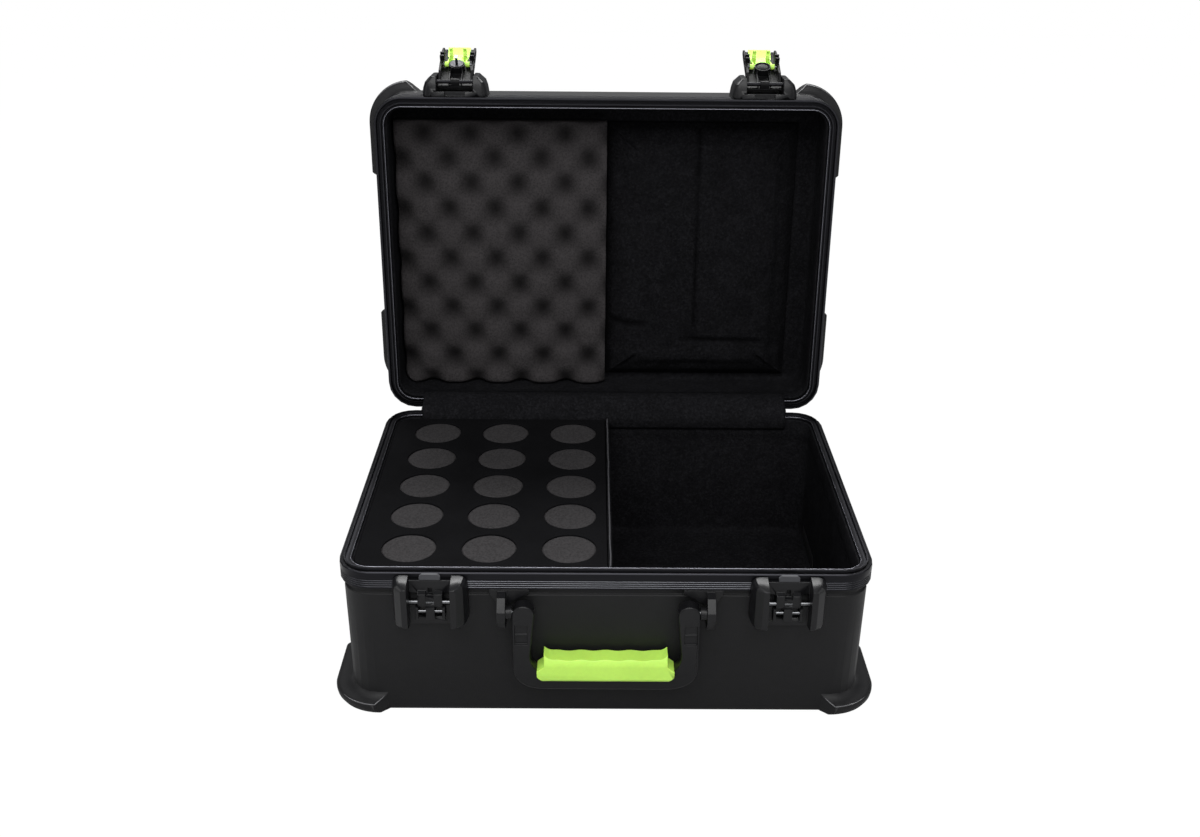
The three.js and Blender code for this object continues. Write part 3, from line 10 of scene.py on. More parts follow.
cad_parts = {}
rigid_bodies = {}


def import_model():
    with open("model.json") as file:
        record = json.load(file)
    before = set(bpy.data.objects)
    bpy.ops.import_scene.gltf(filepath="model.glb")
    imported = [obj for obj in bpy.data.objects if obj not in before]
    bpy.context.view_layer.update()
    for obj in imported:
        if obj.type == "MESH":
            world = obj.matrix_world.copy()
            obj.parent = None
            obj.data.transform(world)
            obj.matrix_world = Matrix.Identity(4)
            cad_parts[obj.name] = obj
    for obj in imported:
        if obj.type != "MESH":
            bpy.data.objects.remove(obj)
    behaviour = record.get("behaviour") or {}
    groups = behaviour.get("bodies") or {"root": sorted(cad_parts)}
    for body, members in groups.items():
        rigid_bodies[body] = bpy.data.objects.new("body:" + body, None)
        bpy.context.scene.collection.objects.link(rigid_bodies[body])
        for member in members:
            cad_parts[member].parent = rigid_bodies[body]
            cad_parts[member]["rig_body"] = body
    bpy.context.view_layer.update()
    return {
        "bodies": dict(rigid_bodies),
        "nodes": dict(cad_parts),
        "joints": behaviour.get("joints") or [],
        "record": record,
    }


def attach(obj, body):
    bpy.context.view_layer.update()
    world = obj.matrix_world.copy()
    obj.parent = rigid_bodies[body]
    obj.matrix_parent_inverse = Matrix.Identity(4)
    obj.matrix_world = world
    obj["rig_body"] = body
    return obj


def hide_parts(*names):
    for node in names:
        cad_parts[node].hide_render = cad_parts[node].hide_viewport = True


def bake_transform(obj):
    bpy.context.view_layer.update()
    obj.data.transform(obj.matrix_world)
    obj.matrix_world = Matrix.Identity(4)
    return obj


bl_info = {
    "name": "Microphone Case",
    "version": (1, 0, 0),
    "blender": (4, 5, 0),
    "location": "View3D > Sidebar > Mic Case",
    "description": "Dresses the CAD frame of a padded microphone case",
    "category": "Add Mesh",
}

MM = 0.001

# Sizes that follow the CAD part, in millimetres.
HALF_X = 265.0
HALF_Y = 189.0
BASE_HEIGHT = 168.0
LID_DEPTH = 82.0
RIM_GAP = 0.5
RIM_RADIUS = 32.5
MIN_RADIUS = 6.0
HINGE_Y = 192.2
HINGE_Z = 168.25
OPEN_ANGLE = math.radians(91.85)
LINING = 2.7
LINING_INSET = 11.3
CONTENT_INSET = 14.3
CONTENT_FOOT_INSET = 17.6
CONTENT_FLOOR = 7.3
CONTENT_TOP = 166.0
CONTENT_REAR = 170.9
CONTENT_FRONT = -174.7
DIVIDER_X = 4.0
DIVIDER_THICK = 5.0
SKIN = 1.6
WINDOW_PITCH = (80.8, 67.4)
WINDOW_FIELD = (-118.1, -2.9)
WINDOW_ROWS = 5
WINDOW_COLUMNS = 3
FIT = 0.3
LID_FLOOR = 4.0
LID_CEILING = BASE_HEIGHT + RIM_GAP + LID_DEPTH - LID_FLOOR - LINING - 2 * FIT
CRATE_WIDTH = 252.0
CRATE_THICK = 27.0
CRATE_PIT = (-76.4, -106.3)
# The crate and the pad start these distances back from the lid's front edge, leaving the dark lining
# bare there to stand in for the shadow under the lid's rim (for the crate partly its real margin too).
CRATE_FRONT_GAP = 21.0
PAD_LEFT = 1.6
PAD_WIDTH = 228.0
PAD_THICK = 25.0
PAD_CREASE = 111.0
PAD_FRONT_GAP = 24.0
FLAP_LENGTH = 446.0
FLAP_THICK = 2.2
FLAP_GLUED = 15.0
LEAF_FACE = 190.5
KNUCKLE = 2.9
RIB_FIRST = 9.2
RIB_PITCH = 2.3
RIB_COUNT = 4
LATCH_X = (("left", -172.0), ("right", 178.0))
WALL_START = 27.0
WALL_STEP = 3.2
WALL_FOOT = 4.8
BUMPER_HEIGHT = 27.0
BUMPER_REACH = (15.5, 7.5)
BUMPER_RADIUS = 50.0
BUMPER_FRONT = (221.0, 236.0)
BUMPER_SIDE = (108.0, 100.0)
PLATES = {"base": 2.0, "lid": 5.2}
FLOOR_RISE = 4.3
FOOT_SLOPE = 8.7
WALL_INSET = 9.1

# Painted highlights and painted shade across the rim faces: how far in from the outer edge, and how
# bright (bright bands for the light caught by edges, dark bands for shade such as in the lid's groove).
RIM_FACE = 0.5
RIM_WIDTH = 12.0
LINE_SCALE = 0.3
LID_RIM_HIGHLIGHTS_AND_SHADE = (
    (0.3, 2.6), (2.2, 2.4), (2.9, 0.3), (6.3, 0.25), (6.7, 1.9),
    (8.2, 1.8), (8.5, 0.1), (9.3, 0.1), (9.7, 1.2), (11.4, 1.4),
)
BASE_RIM_HIGHLIGHTS_AND_SHADE = (
    (0.3, 1.8), (1.1, 1.3), (1.8, 0.4), (5.6, 0.35),
    (6.3, 1.3), (8.4, 1.2), (9.0, 0.5), (11.4, 0.8),
)

# Bumper overlays: share of the reach and height above the foot, ends as way past and fading.
BUMPER_PROFILE = (
    (-0.25, 3.2), (0.3, 2.4), (0.62, 2.3), (0.84, 4.9), (0.97, 8.2), (1.0, 11.0), (1.0, 13.4),
    (0.94, 14.9), (0.8, 15.9), (0.62, 17.0), (0.45, 18.2), (0.3, 19.8), (0.18, 21.5),
    (0.08, 23.8), (0.02, 26.2), (-0.1, 28.0), (-0.25, 27.0),
)
BUMPER_ENDS = ((3.6, 0.2), (3.3, 0.5), (2.5, 0.78), (1.3, 0.95))
BUMPER_SUNK = 1.75
BUMPER_COVER = 0.35
# The painted highlight along each bumper's crest: where on the profile it runs, its radius and its
# steps.
CREST_FACE = (0.93, 15.15)
CREST_RADIUS = 0.5
CREST_STEPS = 15
FRONT_STEPS = 4
CORNER_STEPS = 20
SIDE_STEPS = 8

# Wall under a lever: half width, from and to outside the front, height above the rim, thickness.
LATCH_WALL = (14.8, 1.6, 10.5, 38.2, 2.6)

# Colour of the painted highlight on the rib crests.
RIB_HIGHLIGHT_COLOUR = (0.36, 0.365, 0.38)
WELD = 3e-6
RING_CORNER = 12
RING_SIDES = (30, 40)
BAY_CORNER = 10
CIRCLE_STEPS = 56
CLOTH_FRAMES = 20
STUD_REACH = 208.0
STUD_DROP = 7.6
FLOOR_HALF = 4500.0
CAMERA_PLACE = (-0.01675, -1.2553, 0.8297)
CAMERA_ANGLES = (0.0083, 0.4347, 0.0098)
CAMERA_LENS = 38.44

LID_TURN = (
    Matrix.Translation((0, HINGE_Y * MM, HINGE_Z * MM))
    @ Matrix.Rotation(-OPEN_ANGLE, 4, "X")
    @ Matrix.Translation((0, -HINGE_Y * MM, -HINGE_Z * MM))
)

FRAME = {}


def linear(colour):
    """Screen colour to the shader's linear colour."""
    return tuple(
        c / 12.92 if c <= 0.04045 else ((c + 0.055) / 1.055) ** 2.4 for c in colour
    )


def shade(colour, factor):
    return tuple(min(1.0, c * factor) for c in linear(colour)) + (1.0,)


def clamp(value):
    return min(1.0, max(0.0, value))


# Shader building


class Shader:
    """One procedural material on Object coordinates, in metres."""

    def __init__(self, name):
        self.material = bpy.data.materials.new(name)
        self.material.use_nodes = True
        tree = self.material.node_tree
        tree.nodes.clear()
        self.nodes, self.links = tree.nodes, tree.links
        self.bsdf = self.node("BsdfPrincipled")
        self.node("OutputMaterial", {"Surface": self.bsdf.outputs[0]})
        self.place = self.node("TexCoord").outputs["Object"]

    def put(self, socket, value):
        if isinstance(value, bpy.types.NodeSocket):
            self.links.new(value, socket)
        else:
            socket.default_value = value

    def node(self, kind, inputs=None, **options):
        """A new node; each of its inputs gets a value or a link."""
        node = self.nodes.new("ShaderNode" + kind)
        for name, value in options.items():
            setattr(node, name, value)
        for socket, value in (inputs or {}).items():
            self.put(node.inputs[socket], value)
        return node

    def stretch(self, scale=(1, 1, 1), turn=(0, 0, 0), source=None):
        values = {"Vector": source or self.place, "Scale": scale, "Rotation": turn}
        return self.node("Mapping", values).outputs[0]

    def noise(self, scale, detail=3.0, rough=0.55, source=None, distortion=0.0):
        values = {"Vector": source or self.place, "Scale": scale, "Detail": detail}
        values.update({"Roughness": rough, "Distortion": distortion})
        return self.node("TexNoise", values).outputs["Fac"]

    def cells(self, scale, smooth=None):
        values = {"Vector": self.place, "Scale": scale}
        if smooth is None:
            return self.node("TexVoronoi", values).outputs["Distance"]
        values["Smoothness"] = smooth
        return self.node("TexVoronoi", values, feature="SMOOTH_F1").outputs["Distance"]

    def wave(self, scale, distortion, source=None, direction="X", detail=0.0):
        values = {"Vector": source or self.place, "Scale": scale}
        values.update({"Distortion": distortion, "Detail": detail})
        return self.node("TexWave", values, bands_direction=direction).outputs["Fac"]

    def ramp(self, fac, stops):
        node = self.node("ValToRGB", {"Fac": fac})
        ramp = node.color_ramp
        while len(ramp.elements) < len(stops):
            ramp.elements.new(0.5)
        for element, (at, colour) in zip(ramp.elements, stops):
            element.position = at
            element.color = colour
        return node.outputs["Color"]

    def shades(self, fac, colour, *stops):
        """A ramp through lighter and darker shades of one colour."""
        return self.ramp(fac, [(at, shade(colour, factor)) for at, factor in stops])

    def span(self, fac, low, high, out_low, out_high):
        values = {"Value": fac, "From Min": low, "From Max": high}
        values.update({"To Min": out_low, "To Max": out_high})
        return self.node("MapRange", values).outputs["Result"]

    def math(self, operation, a, b=0.0):
        return self.node("Math", {0: a, 1: b}, operation=operation).outputs[0]

    def plus(self, a, b, weight):
        return self.math("ADD", a, self.math("MULTIPLY", b, weight))

    def weighed(self, a, weight_a, b, weight_b):
        return self.plus(self.math("MULTIPLY", a, weight_a), b, weight_b)

    def vector(self, operation, a, b=(0, 0, 0)):
        return self.node("VectorMath", {0: a, 1: b}, operation=operation).outputs["Vector"]

    def mixed(self, share, first, second):
        values = {0: share, 6: first, 7: second}
        return self.node("Mix", values, data_type="RGBA").outputs[2]

    def axis(self, vector, name):
        return self.node("SeparateXYZ", {0: vector}).outputs[name]

    def with_painted_shade(self, base, strength, dark):
        """Painted shade: darker where the mesh carries the value that marks its hollows and creases."""
        if not strength:
            return base
        painted_shade = self.node("Attribute", attribute_name="painted_shade").outputs["Fac"]
        return self.mixed(self.math("MULTIPLY", painted_shade, strength), base, dark)

    def closed_lid(self):
        """Object coordinates turned back to where the closed lid would be."""
        back = LID_TURN.inverted()
        values = {"Vector": self.place, "Rotation": back.to_euler()}
        values["Location"] = back.to_translation()
        return self.node("Mapping", values).outputs[0]

    def inset(self, place):
        """Distance in from the rims' rounded outline, in millimetres."""
        core = [v * MM for v in (HALF_X - RIM_RADIUS, HALF_Y - RIM_RADIUS, 1000.0)]
        past = self.vector("SUBTRACT", self.vector("ABSOLUTE", place), core)
        past = self.vector("MAXIMUM", past)
        length = self.node("VectorMath", {0: past}, operation="LENGTH").outputs["Value"]
        return self.math("SUBTRACT", RIM_RADIUS, self.math("DIVIDE", length, MM))

    def bump(self, height, distance, strength):
        values = {"Height": height, "Distance": distance, "Strength": strength}
        return self.node("Bump", values).outputs["Normal"]

    def finish(self, base, rough, normal, gloss=0.5, **more):
        values = {"Base_Color": base, "Roughness": rough, "Normal": normal}
        values.update({"Specular_IOR_Level": gloss}, **more)
        for name, value in values.items():
            self.put(self.bsdf.inputs[name.replace("_", " ")], value)
        return self.material


def moulded(name, colour, roughness=0.5, grain=0.0001, streak=1.0, gloss=0.2):
    """Fine-grained moulded plastic: a pebbled skin, faint flow marks and rubbed patches."""
    s = Shader(name)
    skin = s.plus(s.cells(760, smooth=0.6), s.noise(2600, 2.0), 0.35)
    rub = s.noise(60, 5.0, 0.7, source=s.stretch((1, 1, 3.2)))
    tone = s.plus(s.noise(9, 4.0, 0.6, distortion=0.6), rub, 0.45 * streak)
    base = s.shades(tone, colour, (0.35, 0.9), (0.75, 1.0), (1.0, 1.16))
    rough = s.span(tone, 0.4, 1.0, roughness + 0.07, roughness - 0.07)
    return s.finish(base, rough, s.bump(skin, grain, 0.5), gloss)


def anodised(name, colour, opened):
    """Dark anodised extrusion: die lines, painted highlights along the ribs round it, and painted
    highlights and shade across the rim's face.
    """
    s = Shader(name)
    place = s.closed_lid() if opened else s.place
    height = s.axis(place, "Z")
    lines = s.noise(1.0, 3.0, 0.65, source=s.stretch((9, 9, 1900), source=place))
    sign = 1 if opened else -1
    rim = (BASE_HEIGHT + (RIM_GAP if opened else 0)) * MM
    below = s.math("SUBTRACT", height, rim + sign * RIB_FIRST * MM)
    turns = s.math("DIVIDE", below, sign * RIB_PITCH * MM)
    near = s.math("SUBTRACT", s.math("FRACT", s.math("ADD", turns, 0.5)), 0.5)
    # Painted highlight: a light line on each rib crest, fading beyond the middle of the case where less
    # light falls on it.
    crest = s.span(s.math("ABSOLUTE", near), 0.07, 0.2, 1.0, 0.0)
    last = s.math("LESS_THAN", turns, RIB_COUNT - 0.6)
    inside = s.math("MULTIPLY", s.math("GREATER_THAN", turns, -0.4), last)
    middle = s.span(s.math("ABSOLUTE", s.axis(place, "X")), 0.15, 0.205, 1.0, 0.3)
    painted_highlight = s.math("MULTIPLY", s.math("MULTIPLY", crest, inside), middle)
    dark = s.shades(lines, colour, (0.3, 0.8), (0.62, 1.0), (0.8, 1.2))
    base = s.mixed(painted_highlight, dark, shade(RIB_HIGHLIGHT_COLOUR, 1.0))
    # Painted highlights and painted shade on the rim's face: its colour and gloss scaled by bands of
    # brightness across it.
    faced = s.math("LESS_THAN", s.math("ABSOLUTE", s.math("SUBTRACT", height, rim)), RIM_FACE * MM)
    across = s.math("MULTIPLY", s.inset(place), 1 / RIM_WIDTH)
    stops = LID_RIM_HIGHLIGHTS_AND_SHADE if opened else BASE_RIM_HIGHLIGHTS_AND_SHADE
    stops = [(at / RIM_WIDTH, (*(level * LINE_SCALE,) * 3, 1.0)) for at, level in stops]
    level = s.math("DIVIDE", s.ramp(across, stops), LINE_SCALE)
    share = s.math("ADD", s.math("MULTIPLY", faced, level), s.math("SUBTRACT", 1.0, faced))
    base = s.node("VectorMath", {0: base, "Scale": share}, operation="SCALE").outputs["Vector"]
    rough = s.span(s.plus(lines, s.noise(14, 3.0), 0.5), 0.5, 1.1, 0.3, 0.44)
    gloss = s.math("MULTIPLY", share, 0.12)
    return s.finish(base, rough, s.bump(lines, 0.00003, 0.3), gloss, Metallic=0.85)


def steel(name, colour, roughness=0.32):
    """Plated steel with fine turning marks."""
    s = Shader(name)
    lines = s.noise(1.0, 2.0, 0.6, source=s.stretch((2600, 300, 300)))
    base = s.shades(s.noise(420, 4.0, 0.7), colour, (0.3, 0.78), (0.7, 1.0))
    rough = s.span(lines, 0.3, 0.7, roughness - 0.06, roughness + 0.12)
    return s.finish(base, rough, s.bump(lines, 0.00003, 0.4), Metallic=1.0)


def plush(name, colour, tone, painted_shade=0.0):
    """Short brushed pile: tufts of a few millimetres over fine fibres, its tone lighter and darker at
    random, with painted shade where the mesh marks its creases.
    """
    s = Shader(name)
    tuft = s.noise(330, 4.0, 0.65, distortion=0.8)
    fibre = s.noise(1500, 3.0, 0.7, source=s.stretch((1, 1, 0.5)))
    pile = s.weighed(tuft, 0.75, s.noise(26, 4.0, 0.6, distortion=1.2), 0.25)
    base = s.shades(pile, colour, (0.37, 0.62 * tone), (0.5, tone), (0.63, 1.75 * tone))
    base = s.with_painted_shade(base, painted_shade, shade(colour, 0.1))
    return s.finish(base, 1.0, s.bump(s.plus(tuft, fibre, 0.5), 0.0007, 0.9), 0.02)


def knit(name, colour):
    """Thin brushed knit over foam: a close loop grid with a soft nap."""
    s = Shader(name)
    loops = s.math("MULTIPLY", *(s.wave(560, 0.8, direction=way, detail=1.0) for way in "XY"))
    nap = s.noise(900, 3.0, 0.7)
    tone = s.weighed(s.noise(24, 4.0, 0.6), 0.6, nap, 0.4)
    base = s.shades(tone, colour, (0.35, 0.75), (0.6, 1.12))
    return s.finish(base, 0.95, s.bump(s.math("ADD", loops, nap), 0.0002, 0.6), 0.05)


def open_cell(name, colour, cell, depth, contrast, painted_shade=0.0):
    """Open-cell foam: burst bubbles of uneven size, each a dark pit in a paler web, with painted shade
    where the mesh marks its hollows.
    """
    s = Shader(name)
    web = s.weighed(s.cells(cell), 0.65, s.cells(cell * 2.3), 0.35)
    tone = s.plus(web, s.noise(40, 3.0), 0.25)
    pit, peak = 1.0 - 0.42 * contrast, 1.0 + 0.3 * contrast
    base = s.shades(tone, colour, (0.22, pit), (0.5, 1.0), (0.8, peak))
    base = s.with_painted_shade(base, painted_shade, shade(colour, 0.12))
    return s.finish(base, 1.0, s.bump(web, depth, 0.8), 0.12)


def soft_touch(name, colour):
    """Rubbery over-moulding: matt, finely stippled, a touch of light inside it."""
    s = Shader(name)
    stipple = s.cells(1100, smooth=0.5)
    dust = s.noise(240, 5.0, 0.75)
    tone = s.weighed(s.noise(30, 3.0), 0.6, dust, 0.4)
    base = s.shades(tone, colour, (0.35, 0.93), (0.65, 1.05))
    rough = s.span(dust, 0.3, 0.7, 0.42, 0.58)
    inside = {"Subsurface_Weight": 0.08, "Subsurface_Scale": 0.003}
    return s.finish(base, rough, s.bump(stipple, 0.00008, 0.5), **inside)


def braided(name, colour):
    """Woven edge tape: diagonal strands crossing round the cord."""
    s = Shader(name)
    turns = ((0, 0, math.radians(angle)) for angle in (40, -40))
    weave = s.math("MAXIMUM", *(s.wave(210, 0.3, source=s.stretch(turn=turn)) for turn in turns))
    tone = s.weighed(weave, 0.7, s.noise(800, 3.0, 0.7), 0.5)
    base = s.shades(tone, colour, (0.35, 0.4), (0.9, 1.2))
    return s.finish(base, 0.95, s.bump(tone, 0.0003, 0.8), 0.15)


# Mesh building


def arc(x, y, radius, start, steps):
    """Points of a quarter turn, anticlockwise from the start angle in degrees."""
    turns = (math.radians(start + 90 * k / steps) for k in range(steps + 1))
    return [(x + radius * math.cos(a), y + radius * math.sin(a)) for a in turns]


def rim_ring(inset, z):
    """The rims' outline moved in, as points, anticlockwise, with its straight sides cut into steps."""
    radius = max(RIM_RADIUS - inset, MIN_RADIUS)
    cx, cy = HALF_X - inset - radius, HALF_Y - inset - radius
    corners = ((cx, -cy, -90), (cx, cy, 0), (-cx, cy, 90), (-cx, -cy, 180))
    arcs = [arc(x, y, radius, start, RING_CORNER) for x, y, start in corners]
    points = []
    for i, bend in enumerate(arcs):
        (ax, ay), (bx, by) = bend[-1], arcs[(i + 1) % 4][0]
        steps = RING_SIDES[i % 2]
        points += bend
        points += [(ax + (bx - ax) * k / steps, ay + (by - ay) * k / steps) for k in range(1, steps)]
    return [Vector((x, y, z)) for x, y in points]


def loft(bm, rings, closed=False, capped=False):
    """Quads between rings of equal count, closed on themselves or capped at both ends if asked."""
    rows = [[bm.verts.new(p) for p in points] for points in rings]
    count = len(rows[0])
    pairs = list(zip(rows, rows[1:]))
    if closed:
        pairs.append((rows[-1], rows[0]))
    for low, high in pairs:
        for i in range(count):
            j = (i + 1) % count
            bm.faces.new((low[i], low[j], high[j], high[i]))
    if capped:
        bm.faces.new(list(reversed(rows[0])))
        bm.faces.new(rows[-1])
    return rows


def grid(bm, point, columns, rows):
    """A sheet of quads; point(u, v) gives each vertex from shares of the two sides."""
    table = [
        [bm.verts.new(point(i / columns, j / rows)) for i in range(columns + 1)]
        for j in range(rows + 1)
    ]
    for low, high in zip(table, table[1:]):
        for i in range(columns):
            bm.faces.new((low[i], low[i + 1], high[i + 1], high[i]))
    return table


def border(table):
    """The outer vertices of a grid, in order."""
    right = [row[-1] for row in table[:-1]]
    left = [row[0] for row in reversed(table[1:])]
    return table[0][:-1] + right + list(reversed(table[-1]))[:-1] + left


def skirt(bm, rim, levels):
    """A wall from the rim down through the levels, closed by a face on the last one."""
    previous = rim
    for points in levels:
        level = [bm.verts.new(p) for p in points]
        for i in range(len(rim)):
            j = (i + 1) % len(rim)
            bm.faces.new((previous[j], previous[i], level[i], level[j]))
        previous = level
    bm.faces.new(previous)


def linked(name, data):
    obj = bpy.data.objects.new(name, data)
    bpy.context.scene.collection.objects.link(obj)
    return obj


def made(name, bm, material, body, sharp=None):
    """Turns a bmesh in millimetres into a piece in metres, riding on its body, opened with the lid."""
    bmesh.ops.recalc_face_normals(bm, faces=bm.faces)
    mesh = bpy.data.meshes.new(name)
    bm.to_mesh(mesh)
    bm.free()
    mesh.transform(Matrix.Scale(MM, 4))
    if body == "lid":
        mesh.transform(LID_TURN)
    for polygon in mesh.polygons:
        polygon.use_smooth = True
    if sharp is not None:
        mesh.set_sharp_from_angle(angle=math.radians(sharp))
    mesh.materials.append(material)
    obj = linked(name, mesh)
    if body:
        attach(obj, body)
    return obj


def lofted(name, rings, material, body, closed=False):
    """A piece lofted through rings, closed on itself or else capped at both ends."""
    bm = bmesh.new()
    loft(bm, rings, closed, not closed)
    return made(name, bm, material, body)


def applied(obj):
    """Puts the object's evaluated mesh in place of its modifiers."""
    bpy.context.view_layer.update()
    graph = bpy.context.evaluated_depsgraph_get()
    mesh = bpy.data.meshes.new_from_object(
        obj.evaluated_get(graph), preserve_all_data_layers=True, depsgraph=graph
    )
    obj.modifiers.clear()
    obj.data = mesh


def cad(name):
    """The frame's node of that name, which must be there."""
    node = FRAME.get("nodes", {}).get(name)
    if node is None:
        raise RuntimeError(f"the frame has no node {name}")
    return node


def welded(node):
    bm = bmesh.new()
    bm.from_mesh(node.data)
    bmesh.ops.remove_doubles(bm, verts=bm.verts, dist=WELD)
    return bm


def eased(name, material, ease, angle=24.0, segments=2):
    """A smooth copy of a CAD node with its sharp edges eased, which stands for that node."""
    node = cad(name)
    bm = welded(node)
    width = ease * MM
    chosen = []
    for edge in bm.edges:
        if len(edge.link_faces) == 2 and edge.calc_face_angle(0.0) >= math.radians(angle):
            near = [e for v in edge.verts for e in v.link_edges]
            if min(e.calc_length() for e in near) > 2.3 * width:
                chosen.append(edge)
    if ease and chosen:
        area, volume = sum(f.calc_area() for f in bm.faces), bm.calc_volume()
        bmesh.ops.bevel(
            bm,
            geom=chosen,
            offset=width,
            offset_type="OFFSET",
            segments=segments,
            profile=0.5,
            affect="EDGES",
            clamp_overlap=False,
            miter_outer="SHARP",
            miter_inner="SHARP",
        )
        grown = sum(f.calc_area() for f in bm.faces) / area
        if grown > 1.004 or abs(bm.calc_volume() / volume - 1) > 0.06:
            print(f"{name}: edges left sharp, area {grown:.4f}")
            bm.free()
            bm = welded(node)
    mesh = bpy.data.meshes.new(name + "_dressed")
    bm.to_mesh(mesh)
    bm.free()
    for polygon in mesh.polygons:
        polygon.use_smooth = True
    mesh.set_sharp_from_angle(angle=math.radians(42))
    mesh.materials.append(material)
    obj = linked(name + "_dressed", mesh)
    obj.modifiers.new("weighted", "WEIGHTED_NORMAL").keep_sharp = True
    applied(obj)
    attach(obj, node["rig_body"])
    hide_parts(name)


def base_level(below):
    return BASE_HEIGHT - below


def lid_level(below):
    return BASE_HEIGHT + RIM_GAP + below


SHELLS = {"base": (BASE_HEIGHT, base_level), "lid": (LID_DEPTH, lid_level)}


def rumple(point, size, height):
    """A smooth random offset, the same each time."""
    return noise.noise(Vector(point) / size) * height


# Edges and corners of the case


def build_highlight_bead(name, inset, z, radius, material, body):
    """A bright steel bead along the inner edge of a rim frame: a painted highlight for the light caught
    by the frame's rounded edge.
    """
    turns = (2 * math.pi * k / 8 for k in range(8))
    rings = [rim_ring(inset + radius * math.cos(a), z + radius * math.sin(a)) for a in turns]
    lofted(name, rings, material, body, closed=True)


def corner_station(share, above, shell, sides, step, past=0.0, fade=1.0):
    """One point of a bumper: how far out, how high, and which step of the way round the corner."""
    depth, level = shell
    down = (depth - BUMPER_HEIGHT - WALL_START) / (depth - WALL_START)
    inner = WALL_STEP + (WALL_FOOT - WALL_STEP) * down + BUMPER_SUNK
    reach = share * fade
    half_x = HALF_X - inner + reach * (inner + BUMPER_REACH[0] + BUMPER_COVER)
    half_y = HALF_Y - inner + reach * (inner + BUMPER_REACH[1] + BUMPER_COVER)
    radius = RIM_RADIUS - inner + reach * (inner + BUMPER_RADIUS - RIM_RADIUS)
    cx, cy = half_x - radius, half_y - radius
    end_x = BUMPER_FRONT[0] + (BUMPER_FRONT[1] - BUMPER_FRONT[0]) * share - 0.3
    end_y = HALF_Y - BUMPER_SIDE[0] + (BUMPER_SIDE[0] - BUMPER_SIDE[1]) * share - 0.3
    start = math.pi / 2 if end_x <= cx else math.acos(min(1.0, (end_x - cx) / radius))
    corner = step - FRONT_STEPS
    if corner <= 0:
        x = end_x - past + (max(cx, end_x) - end_x) * step / FRONT_STEPS
        y = cy + radius * math.sin(start)
    elif corner <= CORNER_STEPS:
        a = start * (1 - corner / CORNER_STEPS)
        x, y = cx + radius * math.cos(a), cy + radius * math.sin(a)
    else:
        x, y = half_x, cy + (end_y - cy) * (corner - CORNER_STEPS) / SIDE_STEPS - past
    return Vector((x * sides[0], y * sides[1], level(depth - above)))


def build_bumper(name, shell, sides, body, material):
    """A flared corner bumper, rounded off where it runs out into the wall."""
    last = FRONT_STEPS + CORNER_STEPS + SIDE_STEPS
    stations = [(0, *end) for end in BUMPER_ENDS]
    stations += [(step, 0.0, 1.0) for step in range(last + 1)]
    stations += [(last, *end) for end in reversed(BUMPER_ENDS)]
    rings = []
    for step, past, fade in stations:
        rings.append([
            corner_station(share, above, shell, sides, step, past, fade if share > 0 else 1.0)
            for share, above in BUMPER_PROFILE
        ])
    lofted(name, rings, material, body)


def build_bumper_highlight(name, shell, sides, body, material):
    """The painted highlight along a bumper's crest: a thin light tube on its upper face, turned in at
    its end on the front or rear.
    """
    run = [(*CREST_FACE, step) for step in range(CREST_STEPS, -1, -1)]
    run += [(share, above + 0.2, 0) for share, above in BUMPER_PROFILE[8:12]]
    path = [corner_station(share, above, shell, sides, step) for share, above, step in run]
    rings = []
    count = len(path) - 1
    for i, p in enumerate(path):
        along = (path[min(i + 1, count)] - path[max(i - 1, 0)]).normalized()
        side = along.cross(Vector((0, 0, 1))).normalized()
        up = side.cross(along)
        radius = CREST_RADIUS * min(1.0, 0.25 + i / 7, 0.3 + (count - i) / 2)
        turns = (2 * math.pi * k / 6 for k in range(6))
        rings.append([p + radius * (math.cos(a) * side + math.sin(a) * up) for a in turns])
    lofted(name, rings, material, body)


def build_latch_wall(name, x, material):
    """The low wall between a latch housing's stops, which shuts the view under the lever."""
    half, out_low, out_high, above, thick = LATCH_WALL
    bm = bmesh.new()
    bmesh.ops.create_cube(bm, size=1.0)
    middle = Vector((x, -HALF_Y - (out_low + out_high) / 2, lid_level(above + thick / 2)))
    size = (2 * half, out_high - out_low, thick)
    for v in bm.verts:
        v.co = middle + Vector([a * b for a, b in zip(size, v.co)])
    bmesh.ops.bevel(bm, geom=bm.edges, offset=0.5, segments=2, affect="EDGES")
    made(name, bm, material, "lid", sharp=30)


# Interior


def build_lining(depth, level, body, material, nap):
    """The plush lining: a shell of cloth with soft corners, a slightly uneven face and a full floor."""
    plate, foot = PLATES[body], depth - FLOOR_RISE
    outer = [(LINING_INSET, plate + 1.3), (LINING_INSET, 21.0), (WALL_INSET, 30.8)]
    outer += [(8.6, foot - 6), (14.6, foot)]
    inner = [
        (LINING_INSET + 0.5 * LINING, plate + 0.9),
        (LINING_INSET + 0.85 * LINING, plate + 1.4),
        (LINING_INSET + LINING, plate + 2.6),
        (LINING_INSET + LINING, 12.0),
        (LINING_INSET + LINING, 20.0),
        (LINING_INSET + LINING - 0.4, 23.5),
        (9.4 + LINING, 29.0),
    ]
    start, end = 33.0, foot - 9.0
    steps = max(3, round((end - start) / 9))
    for k in range(steps + 1):
        inner.append((WALL_INSET + LINING - 0.5 * k / steps, start + (end - start) * k / steps))
    inner += [(11.9, foot - 6.2), (13.5, foot - 4.2), (16.3, foot - 3.0)]
    inner += [(20.3 + 11.0 * k, foot - LINING) for k in range(15)]
    rings = [rim_ring(i, level(b)) for i, b in reversed(outer)]
    for inset, below in inner:
        points = rim_ring(inset, level(below))
        for p in points:
            offset = rumple(p, 16, nap) + rumple(p, 60, nap * 1.4) - nap * 0.7
            share = clamp((inset - 14) / 6)
            if below > plate + 3:
                p.z += math.copysign(1, level(0) - level(1)) * share * abs(offset)
                push = (1 - share) * abs(offset) * 0.6
                if abs(p.x) > HALF_X - inset - 1:
                    p.x -= math.copysign(push, p.x)
                else:
                    p.y -= math.copysign(push, p.y)
        rings.append(points)
    return lofted(body + "_plush", rings, material, body)


